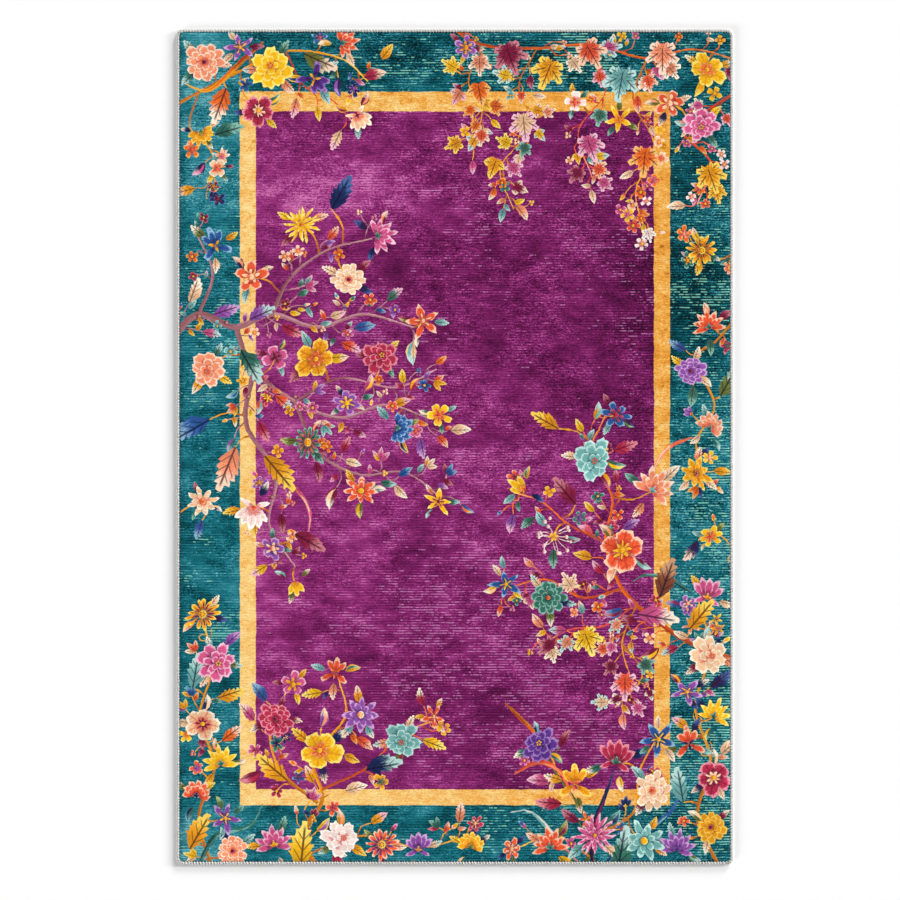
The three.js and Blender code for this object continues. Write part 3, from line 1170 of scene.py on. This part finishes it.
def makeCloth(printed, backing):
    flat, triangles, owners = layOut()
    rim = rimOf(triangles)
    rimFlat, count = flat[rim], len(rim)
    inner = np.array([halfWide - cornerRadius, halfLong - cornerRadius])
    way = rimFlat - np.clip(rimFlat, -inner, inner)
    way /= np.maximum(np.linalg.norm(way, axis=1), 1e-9)[:, None]

    # The side and the underside are the rim again, lower and nearer the middle
    places = [np.column_stack([flat, topHeight(flat[:, 0], flat[:, 1])])]
    rows = [rim]
    for inset, z in (
        (clothInset, cloth["marginLow"]),
        (cloth["pileFoot"], cloth["marginLow"]),
        (cloth["undersideInset"], 0.0),
    ):
        first = sum(len(level) for level in places)
        rows.append(list(range(first, first + count)))
        places.append(np.column_stack([rimFlat - way * (inset - clothInset), np.full(count, z)]))
    allFaces = triangles.tolist()
    for high, low in zip(rows, rows[1:]):
        for i in range(count):
            j = (i + 1) % count
            allFaces.append((high[j], high[i], low[i], low[j]))
    allFaces.append(rows[-1][::-1])

    mesh = bpy.data.meshes.new("rugCloth")
    mesh.from_pydata((np.vstack(places) * mm).tolist(), [], allFaces)
    mesh.materials.append(printed)
    mesh.materials.append(backing)
    number = np.arange(len(allFaces))
    mesh.polygons.foreach_set("material_index", (number >= len(triangles) + count).astype(np.int32))
    mesh.polygons.foreach_set("use_smooth", number < len(triangles))
    paintCloth(mesh, flat, triangles, owners)
    mesh.update()
    print("rug cloth:", len(allFaces), "faces")
    return addObject("printed_rug_cloth", mesh)


def addAttribute(mesh, name, kind, domain, values):
    field = {"FLOAT": "value", "FLOAT_VECTOR": "vector", "FLOAT_COLOR": "color"}[kind]
    data = mesh.attributes.new(name, kind, domain).data
    data.foreach_set(field, np.asarray(values, np.float32).ravel())


def paintCloth(mesh, flat, triangles, owners):
    # Each corner gets the inks of the shape on top there, and its place in that shape
    corners = len(mesh.loops)
    painted = len(triangles) * 3

    def ofShape(name):
        return np.array([shape[name] for shape in shapes])[owners]

    def atCorners(values, blank, width):
        # one row for each corner of the top, blank on the side and the underside
        spread = np.full((corners, width), blank, float)
        spread[:painted] = values if len(values) == painted else np.repeat(values, 3, axis=0)
        return spread

    along, half, triple = ofShape("along"), ofShape("half"), ofShape("inks")
    away = flat[triangles] - ofShape("middle")[:, None, :]
    across = np.stack([-along[:, 1], along[:, 0]], axis=1)
    u = (away * along[:, None, :]).sum(-1) / half[:, None, 0]
    v = (away * across[:, None, :]).sum(-1) / half[:, None, 1]
    group = np.repeat(owners % cloth["inkGroups"], 3)
    place = np.column_stack([u.ravel(), v.ravel(), group])
    setting = ofShape("setting") * (owners >= 0)[:, None]
    addAttribute(mesh, "petalPlace", "FLOAT_VECTOR", "CORNER", atCorners(place, 0, 3))
    addAttribute(mesh, "petalSetting", "FLOAT_VECTOR", "CORNER", atCorners(setting, 0, 3))
    for k, name in enumerate(("inkMiddle", "inkRim", "inkRoot")):
        colours = np.column_stack([triple[:, k], ofShape("tipped")])
        addAttribute(mesh, name, "FLOAT_COLOR", "CORNER", atCorners(colours, 1, 4))

    # Slow changes of dye and wear, at the points
    coordinates = np.zeros(len(mesh.vertices) * 3)
    mesh.vertices.foreach_get("co", coordinates)
    points = coordinates.reshape(-1, 3)[:, :2] / mm
    x, y = points.T
    for name, patches in (("dyeShade", dyePatches), ("wornShade", wornPatches)):
        total = np.zeros(len(x))
        for px, py, reachX, reachY, amount in patches:
            total += amount * np.exp(-(((x - px) / reachX) ** 2) - ((y - py) / reachY) ** 2)
        addAttribute(mesh, name, "FLOAT", "POINT", total)

    # A map for baking: the top fills nearly all of it, the side and the underside a strip at its foot
    loops = np.zeros(corners, np.int32)
    mesh.loops.foreach_get("vertex_index", loops)
    uv = points[loops] / (2 * halfWide, 2 * halfLong) + 0.5
    strip, gap = cloth["mapStrip"], cloth["mapGap"]
    uv[:painted, 1] = strip + gap + (1 - strip - gap) * uv[:painted, 1]
    uv[painted:, 1] *= strip - 2 * gap
    mesh.uv_layers.new(name="OFBake").uv.foreach_set("vector", uv.ravel().astype(np.float32))


# Ground of the print: teal border, gold band, purple field, in millimetres from the middle.
# Patches are where it is paler or deeper, and where it is worn: x, y, reach across and along, amount
dyePatches = [
    (-550, 600, 130, 170, 0.2),
    (-560, 850, 90, 120, 0.3),
    (-437, 744, 50, 60, -0.16),
    (-540, 60, 90, 330, -0.02),
    (-547, 200, 80, 60, 0.13),
    (-560, -890, 110, 80, 0.2),
    (60, 850, 560, 90, -0.17),
    (545, 600, 120, 330, -0.14),
    (540, 330, 100, 130, -0.24),
    (540, -130, 110, 230, 0.08),
    (545, -700, 110, 260, -0.07),
    (-420, -850, 200, 90, 0.05),
    (-380, -788, 90, 45, -0.13),
    (165, -788, 110, 50, -0.15),
    (-340, 620, 130, 50, -0.04),
    (-300, 560, 130, 60, 0.3),
    (-190, 540, 190, 110, 0.14),
    (-120, 410, 210, 55, -0.14),
    (150, 300, 330, 170, -0.06),
    (340, 640, 100, 80, -0.09),
    (390, 200, 130, 380, -0.13),
    (20, 20, 150, 160, 0.06),
    (-270, -30, 190, 330, 0.17),
    (-425, -200, 55, 270, 0.12),
    (110, -215, 130, 120, 0.1),
    (340, -70, 110, 110, 0.1),
    (-370, -640, 150, 190, 0.08),
    (-50, -570, 130, 70, -0.09),
    (219, -679, 60, 60, 0.1),
]
wornPatches = [
    (560, -80, 110, 330, 0.5),
    (560, -700, 110, 230, 0.6),
    (545, 330, 110, 160, 0.3),
    (560, 620, 110, 200, 0.3),
    (0, 850, 330, 70, 0.5),
    (300, 850, 200, 70, 0.4),
    (-540, 230, 100, 170, 0.4),
    (-520, -420, 80, 260, 0.33),
    (-130, -420, 260, 170, 0.22),
    (200, 480, 260, 130, 0.2),
    (60, 690, 130, 60, 0.2),
    (160, -420, 360, 260, 0.42),
    (380, 260, 120, 330, 0.2),
    (260, -680, 300, 120, 0.36),
    (200, -850, 400, 60, 0.3),
    (-100, 120, 300, 330, 0.3),
    (0, 560, 300, 150, 0.12),
]
ground = {
    "outerHalf": (470.5, 780.5),
    "outerUp": -3.5,
    "innerHalf": (435.5, 741.5),
    "innerUp": -7.5,
    "wander": ((38, 2, 2.4), (5, 1, 1.2)),  # of the band's edges: grain, detail, reach
    "cornerSlope": 0.45,
    "goldCalm": (-600, 200, 0.6, 1.0),  # the dye is calmer towards the bottom left
    "clothCalm": (-700, 450, 0.62, 1.18),
    "goldFade": (-0.0002, -0.00005),  # for each millimetre to the right and up
    "worn": (-0.1, 0.75),
    "textureShares": (0.8, 0.9, 1.0),  # rows, strokes and single knots of the pile
    "textureShade": 0.4,
    "napTeal": 1.05,
    "napField": 0.8,
    "rowPitch": 5.7,
    "rowStride": 7.31,  # how far apart rows are in the noise, so that none repeats its neighbour
    "dashForm": (25.0, 3, 0.75),  # reach along the row, detail, roughness
    "dashBar": 0.68,
    "dashMore": 0.21,  # more of them where the pile is worn
    "dashHeight": -0.3,
    "dashHalf": (0.29, 0.14),  # of a row's pitch
    "ribForm": (34.0, 2, 0.6),
    "ribShadeDepth": 0.27,
    "seamShade": 0.85,  # how much light is left beside the yarn
    "dyeBase": 0.49,
    "goldBase": 0.592,
    "teal": ((0.0, "#001c22"), (0.25, "#023e47"), (0.5, "#0f6672"), (0.72, "#318593"), (1.0, "#74b4b8")),
    "field": ((0.0, "#300422"), (0.25, "#540e41"), (0.5, "#781f5d"), (0.72, "#9b367e"), (1.0, "#cc70ab")),
    "gold": ((0.0, "#a8622a"), (0.3, "#dc8f30"), (0.5, "#eba646"), (0.72, "#f4cb7e"), (1.0, "#fbe4a8")),
    "tealDash": (0.8, "#86d2bc"),
    "fieldDash": (0.6, "#cc84bc"),
    # grain in millimetres along x, y and z, detail, roughness; the brush's in shares of a petal
    "grains": {
        "cloud": ((170, 110, 150), 2, 0.5),
        "patch": ((52, 30, 40), 4, 0.6),
        "blotch": ((11, 9, 10), 3, 0.6),
        "rubbed": ((110, 60, 90), 3, 0.6),
        "calm": ((120, 90, 100), 2, 0.5),
        "row": ((24, 2.3, 5), 2, 0.6),
        "stroke": ((7, 2.4, 5), 2, 0.6),
        "pile": ((2.8, 2.2, 3), 1, 0.5),
        "brush": ((0.5, 0.16, 1.0), 3, 0.65),
    },
    "bump": {"Strength": 0.2, "Distance": 0.0005},
    "shader": {"Roughness": 0.92, "Sheen Weight": 0.03, "Sheen Roughness": 0.5, "Specular IOR Level": 0.04},
}


def grainsOf(place, *names):
    return [noise(place, *ground["grains"][name]) for name in names]


def wandered(place):
    # a place that strays a little, which makes straight edges uneven
    strays = []
    for grain, detail, reach in ground["wander"]:
        stray = noise(place, (grain,) * 3, detail, output="Color")
        strays.append(vectorMaths("MULTIPLY", vectorMaths("SUBTRACT", stray, (0.5,) * 3), (2 * reach,) * 3))
    return vectorMaths("ADD", place, vectorMaths("ADD", *strays))


def rectangleEdge(x, y, half, up):
    return (abs(x) - half[0]).of("MAXIMUM", abs(y - up) - half[1])


def groundColour(place, texture, stroke):
    tree = place.tree
    flatX, flatY, _ = parts(place)
    corner = flatX + flatY * ground["cornerSlope"]

    # Clouds and patches of dye
    cloud, patch, blotch, rubbed, calm = grainsOf(place, "cloud", "patch", "blotch", "rubbed", "calm")
    tone = ground["dyeBase"] + attribute(tree, "dyeShade") + centred(cloud, 0.6) + centred(patch, 0.9)
    flecks = between(blotch, 0.4, 0.28) * -0.25
    mottle = centred(patch, 0.9) + centred(blotch, 0.5) + texture * 0.42 + flecks
    mottle = mottle * between(corner, *ground["goldCalm"])
    fadeX, fadeY = ground["goldFade"]
    gold = rampOf(ground["goldBase"] + mottle + flatX * fadeX + flatY * fadeY, ground["gold"])

    # Rows of knots, with painted shade between the rows and painted light on them, which show most where the
    # pile is rubbed
    line = (flatY + centred(patch, 3.0)) / ground["rowPitch"]
    inRow = abs(line.of("FRACT") - 0.5)
    rowNumber = line.of("FLOOR") * ground["rowStride"]

    def alongRow(reach, detail, roughness):
        spot = put(tree, "ShaderNodeCombineXYZ", {"X": flatX / reach, "Y": rowNumber})
        return noise(spot, (1, 1, 1), detail, roughness)

    worn = between(attribute(tree, "wornShade") + centred(rubbed, 1.6), *ground["worn"])
    # painted shade in the grooves between rows and painted light on the rows, stronger where worn
    rowShadeAndLight = between(inRow, 0.5, 0.0, -1.0, 1.0) * between(alongRow(*ground["ribForm"]), 0.3, 0.65)
    rowShadeAndLight = rowShadeAndLight * ((worn + 0.35) * ground["ribShadeDepth"])
    calm = between(calm, 0.38, 0.56, 0.45, 1.1) * between(corner, *ground["clothCalm"])
    # the pile's own grain plus the painted row shade and light
    pileAndRowShade = texture * calm + rowShadeAndLight
    teal = rampOf(tone + pileAndRowShade * ground["napTeal"] - 0.03, ground["teal"])
    field = rampOf(tone + pileAndRowShade * ground["napField"], ground["field"])

    # Short pale dashes among the rows
    bar = ground["dashBar"] - worn * ground["dashMore"]
    dash = between(alongRow(*ground["dashForm"]) - bar, 0.0, 0.05) * between(inRow, *ground["dashHalf"])
    dash = dash * between(stroke, 0.25, 0.55, 0.6, 1.0)
    teal = blended(dash * ground["tealDash"][0], teal, ground["tealDash"][1])
    field = blended(dash * ground["fieldDash"][0], field, ground["fieldDash"][1])

    x, y, _ = parts(wandered(place))
    inBand = between(rectangleEdge(x, y, ground["outerHalf"], ground["outerUp"]), 0.5, -0.5)
    inField = between(rectangleEdge(x, y, ground["innerHalf"], ground["innerUp"]), 0.5, -0.5)
    return blended(inField, blended(inBand, teal, gold), field), dash


motifs = {
    "ragged": 0.45,  # how far the pile breaks up the edge between two inks
    "brushRim": 0.8,
    "brushLength": 1.3,
    "rim": (0.58, 0.82),  # from and to which share of the way out
    "tip": (-0.1, 0.55),
    "root": (0.0, -0.5),
    "rootShade": 0.85,
    "midrib": (0.13, 0.05),
    "branch": (0.14, 0.06),
    "branchLean": 0.7,
    "branchCount": 2.3,
    "branchShade": 0.85,
    "veinShade": 0.85,
}


def motifColour(stroke):
    # petals, leaves and stems, each shaded from its rim to its middle and root
    tree = stroke.tree
    petalPlace = attribute(tree, "petalPlace", "Vector")
    u, v, _ = parts(petalPlace)
    covered, vein, rimShare = parts(attribute(tree, "petalSetting", "Vector"))
    tipped = attribute(tree, "inkRim", "Alpha")
    names = ("inkMiddle", "inkRim", "inkRoot")
    middleInk, rimInk, rootInk = (attribute(tree, name, "Color") for name in names)
    brush = grainsOf(petalPlace, "brush")[0]
    ragged = centred(stroke, motifs["ragged"])
    out = (u * u + v * v).of("SQRT")
    along = u + centred(brush, motifs["brushLength"]) + ragged

    fromMiddle = between(out + centred(brush, motifs["brushRim"]) + ragged, *motifs["rim"])
    lengthwise = between(along, *motifs["tip"])
    rim = (fromMiddle + (lengthwise - fromMiddle) * tipped) * rimShare
    root = between(along, *motifs["root"]) * motifs["rootShade"]
    root = root * between(out, 1.3, 0.9) * (1.0 - tipped * 0.7)

    sideways = abs(v)
    midrib = between(sideways, *motifs["midrib"])
    branches = abs(((u - sideways * motifs["branchLean"]) * motifs["branchCount"]).of("FRACT") - 0.5)
    branches = between(branches, *motifs["branch"]) * motifs["branchShade"] * between(out, 0.85, 0.6)
    veins = midrib.of("MAXIMUM", branches) * (vein * between(u, 0.9, 0.6))
    dark = root.of("MAXIMUM", veins * motifs["veinShade"])
    return covered, blended(dark, blended(rim, middleInk, rimInk), rootInk)


def printedMaterial():
    material, tree = newMaterial("printedPile")
    place = placeInMm(tree)
    flatX, flatY, _ = parts(place)
    row, stroke, pile = grainsOf(place, "row", "stroke", "pile")
    rowShare, strokeShare, pileShare = ground["textureShares"]
    texture = centred(row, rowShare) + centred(stroke, strokeShare) + centred(pile, pileShare)
    bare, dash = groundColour(place, texture, stroke)
    covered, motif = motifColour(stroke)
    pileHalf = (halfWide - cloth["pileEdge"], halfLong - cloth["pileEdge"])
    # painted shade on the pile beside the yarn
    shadeBesideYarn = between(rectangleEdge(flatX, flatY, pileHalf, 0.0), -1.6, 0.8, 1.0, ground["seamShade"])
    colour = scaled(blended(covered, bare, motif), (1.0 + texture * ground["textureShade"]) * shadeBesideYarn)
    return finishMaterial(material, colour, texture + dash * ground["dashHeight"], ground)


backing = {
    "warpPitch": 2.4,
    "weftPitch": 2.0,
    "cloud": ((120, 90, 100), 3, 0.6),
    "slub": ((14, 1.4, 3), 2, 0.6),
    "beige": ((0.0, "#a89e90"), (0.5, "#cfc7ba"), (1.0, "#e6e0d5")),
    "bump": {"Strength": 0.5, "Distance": 0.0004},
    "shader": {"Roughness": 0.9},
}


def backingMaterial():
    material, tree = newMaterial("plainUnderside")
    place = placeInMm(tree)
    x, y, _ = parts(place)
    warp = (x * (2 * math.pi / backing["warpPitch"])).of("SINE")
    weft = (y * (2 * math.pi / backing["weftPitch"])).of("SINE")
    weave = warp * weft
    slub = noise(place, *backing["slub"])
    tone = 0.5 + weave * 0.14 + centred(noise(place, *backing["cloud"]), 0.4) + centred(slub, 0.5)
    return finishMaterial(material, rampOf(tone, backing["beige"]), weave + slub, backing)


# The overlocked edge
overlock = {
    "pitch": 6.4,
    "needleInset": 7.7,
    "yarnRadius": 0.95,
    "sides": 6,
    "coreInset": 3.5,
    "coreSize": (6.0, 3.3),
    "coreRound": 1.3,
    "cornerSteps": 10,
    "coreSteps": 3,
    "seed": 7,
    "uneven": 0.35,
    "tilt": ((-0.03, -0.05, -0.14), (0.03, 0.05, 0.14)),
    "drift": ((-1, -1, -0.2), (1, 1, 0.3)),
    "scale": ((0.92, 0.93, 0.97), (1.1, 1.08, 1.03)),
    "strand": 1.3,  # from one twisted strand to the next
    "strandShade": 0.16,
    "strandShadeColour": "#6e6d6b",
    "fluff": ((0.9, 0.9, 0.9), 3, 0.7),
    "soil": ((26, 26, 26), 2, 0.6),
    "yarn": ((0.0, "#a8a7a3"), (0.45, "#d5d4cf"), (1.0, "#efeee9")),
    "coreShadeColour": "#c4c3c1",  # painted shade on the yarn deep between the stitches
    "footShade": 0.4,  # painted shade on its side, towards the floor
    "footShadeReach": (3.6, 0.6),
    "footShadeColour": "#6a6864",
    "bump": {"Strength": 0.6, "Distance": 0.0003},
    "shader": {"Roughness": 0.85, "Sheen Weight": 0.1},
}


def yarnMaterial():
    material, tree = newMaterial("overlockYarn")
    place = placeInMm(tree)
    x, y, height = parts(place)
    fluff, soil = noise(place, *overlock["fluff"]), noise(place, *overlock["soil"])
    colour = rampOf(0.55 + centred(fluff, 0.8) + centred(soil, 0.35), overlock["yarn"])
    # painted shade: the core yarn deep between the stitches is darker
    colour = blended(attribute(tree, "coreShade"), colour, overlock["coreShadeColour"])
    # painted shade in the grooves between the twisted strands
    strands = ((x + y + height) * (2 * math.pi / overlock["strand"])).of("SINE")
    strands = (strands + 1.0) * 0.5
    colour = blended(strands * overlock["strandShade"], colour, overlock["strandShadeColour"])
    # painted shade: the yarn darkens low on its side, towards the floor
    foot = between(height, *overlock["footShadeReach"]) * overlock["footShade"]
    colour = blended(foot, colour, overlock["footShadeColour"])
    return finishMaterial(material, colour, fluff + strands * -1.2, overlock)


def tubeMesh(name, line, radius, sides):
    # A closed tube along a line, flat caps at both ends
    line = np.array(line, float)
    ways = np.gradient(line, axis=0)
    ways /= np.linalg.norm(ways, axis=1)[:, None]
    side = np.cross(ways, (0.31, 0.94, 0.13))
    side /= np.linalg.norm(side, axis=1)[:, None]
    up = np.cross(side, ways)
    points, faces = [], []
    for k, centre in enumerate(line):
        for i in range(sides):
            a = 2 * math.pi * i / sides
            points.append(centre + radius * (math.cos(a) * side[k] + math.sin(a) * up[k]))
    for k in range(len(line) - 1):
        for i in range(sides):
            j = (i + 1) % sides
            faces.append((k * sides + i, k * sides + j, (k + 1) * sides + j, (k + 1) * sides + i))
    faces.append(tuple(range(sides))[::-1])
    last = (len(line) - 1) * sides
    faces.append(tuple(last + i for i in range(sides)))
    mesh = bpy.data.meshes.new(name)
    mesh.from_pydata((np.array(points) * mm).tolist(), [], faces)
    return mesh


def stitchLine():
    # x along the edge, y in from it, z up: up over the edge, in to the needle, back and under
    p, inner, r = overlock["pitch"], overlock["needleInset"], overlock["yarnRadius"]
    top, low = yarnHigh - r * 0.9, r * 0.9
    return [
        (-0.62 * p, inner * 0.9, low),
        (-0.5 * p, inner * 0.5, low),
        (-0.42 * p, r * 1.5, low + 0.1),
        (-0.36 * p, r, (top + low) / 2),
        (-0.28 * p, r * 1.5, top - 0.1),
        (-0.12 * p, inner * 0.55, top + 0.1),
        (0.0, inner, top - 0.1),
        (0.14 * p, inner * 0.55, top + 0.1),
        (0.3 * p, r * 1.5, top - 0.1),
        (0.38 * p, r, (top + low) / 2),
        (0.44 * p, r * 1.5, low + 0.1),
        (0.5 * p, inner * 0.5, low),
        (0.6 * p, inner * 0.9, low),
    ]


def overlockTree(material):
    tree = bpy.data.node_groups.new("overlockStitches", "GeometryNodeTree")
    sockets = tree.interface
    sockets.new_socket("Geometry", in_out="INPUT", socket_type="NodeSocketGeometry")
    sizes = {
        "Width": 2 * halfWide,
        "Length": 2 * halfLong,
        "Corner Radius": cornerRadius,
        "Pitch": overlock["pitch"],
        "Core Inset": overlock["coreInset"],
        "Core Width": overlock["coreSize"][0],
        "Core Thickness": overlock["coreSize"][1],
        "Core Round": overlock["coreRound"],
        "Core Height": yarnHigh / 2,
        "Uneven": overlock["uneven"],
    }
    for name, size in sizes.items():
        sockets.new_socket(name, in_out="INPUT", socket_type="NodeSocketFloat").default_value = size * mm
    sockets.new_socket("Seed", in_out="INPUT", socket_type="NodeSocketInt").default_value = overlock["seed"]
    sockets.new_socket("Geometry", in_out="OUTPUT", socket_type="NodeSocketGeometry")
    groupInput, groupOutput = tree.nodes.new("NodeGroupInput"), tree.nodes.new("NodeGroupOutput")

    def given(name):
        return Value(tree, groupInput.outputs[name])

    def roundedBox(width, height, radius, steps):
        box = put(tree, "GeometryNodeCurvePrimitiveQuadrilateral", {"Width": width, "Height": height})
        form = {"Curve": box, "Radius": radius, "Count": steps}
        return put(tree, "GeometryNodeFilletCurve", form, mode="POLY")

    def edgePath(inset):
        # the rug's outline, drawn in by an inset
        width, height = given("Width") - inset * 2.0, given("Length") - inset * 2.0
        return roundedBox(width, height, given("Corner Radius") - inset, overlock["cornerSteps"])

    def randomVector(reach, step):
        form = {0: reach[0], 1: reach[1], "Seed": given("Seed") + step}
        return put(tree, "FunctionNodeRandomValue", form, data_type="FLOAT_VECTOR")

    # Stitches: the object's own mesh, once for each pitch along the outline
    steps = {"Curve": edgePath(0.0), "Length": given("Pitch")}
    spread = put(tree, "GeometryNodeCurveToPoints", steps, "Points", mode="LENGTH")
    wayX, wayY, _ = parts(spread.beside("Tangent"))
    turned = put(tree, "ShaderNodeCombineXYZ", {"Z": wayY.of("ARCTAN2", wayX)})
    drift = scaled(randomVector(overlock["drift"], 2), given("Uneven"))
    placed = put(tree, "GeometryNodeSetPosition", {"Geometry": spread, "Offset": drift})
    form = {
        "Points": placed,
        "Instance": given("Geometry"),
        "Rotation": vectorMaths("ADD", turned, randomVector(overlock["tilt"], 1)),
        "Scale": randomVector(overlock["scale"], 3),
    }
    stitches = put(tree, "GeometryNodeInstanceOnPoints", form)

    # Core: the yarn that lies along the raw edge under the stitches
    size = (given("Core Width"), given("Core Thickness"), given("Core Round"))
    section = roundedBox(*size, overlock["coreSteps"])
    form = {"Curve": edgePath(given("Core Inset")), "Profile Curve": section}
    core = put(tree, "GeometryNodeCurveToMesh", form)
    rise = put(tree, "ShaderNodeCombineXYZ", {"Z": given("Core Height")})
    core = put(tree, "GeometryNodeTransform", {"Geometry": core, "Translation": rise})
    # marks the core, which the yarn's material paints darker as shade between the stitches
    form = {"Geometry": core, "Name": "coreShade", "Value": 1.0}
    core = put(tree, "GeometryNodeStoreNamedAttribute", form, data_type="FLOAT")

    joined = put(tree, "GeometryNodeJoinGeometry", {0: stitches})
    plug(tree, joined.socket.node.inputs[0], core)
    real = put(tree, "GeometryNodeRealizeInstances", {0: joined})
    # pressed flat where it lies on the floor
    x, y, z = parts(put(tree, "GeometryNodeInputPosition"))
    pressed = put(tree, "ShaderNodeCombineXYZ", {"X": x, "Y": y, "Z": z.of("MAXIMUM", 0.0)})
    real = put(tree, "GeometryNodeSetPosition", {"Geometry": real, "Position": pressed})
    smooth = put(tree, "GeometryNodeSetShadeSmooth", {"Geometry": real})
    finished = put(tree, "GeometryNodeSetMaterial", {"Geometry": smooth, "Material": material})
    plug(tree, groupOutput.inputs[0], finished)
    return tree


def makeOverlock():
    stitch = tubeMesh("oneStitch", stitchLine(), overlock["yarnRadius"], overlock["sides"])
    maker = addObject("stitchMaker", stitch)
    nodes = maker.modifiers.new("stitches", "NODES")
    nodes.node_group = overlockTree(yarnMaterial())
    for item in nodes.node_group.interface.items_tree:
        if item.in_out == "INPUT" and item.socket_type != "NodeSocketGeometry":
            nodes[item.identifier] = item.default_value
    made = maker.evaluated_get(bpy.context.evaluated_depsgraph_get())
    mesh = bpy.data.meshes.new_from_object(made)
    mesh.name = "overlockYarn"
    maker.modifiers.clear()
    bpy.data.objects.remove(maker)
    print("overlock:", len(mesh.polygons), "faces")
    return addObject("overlock_yarn", mesh)


makeCamera()
makeLights()
makeFloor()
drawPrint()
rug = makeCloth(printedMaterial(), backingMaterial())
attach(rug, "root")
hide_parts("rug_body")
edge = makeOverlock()
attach(edge, "root")
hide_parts("edge_serging")
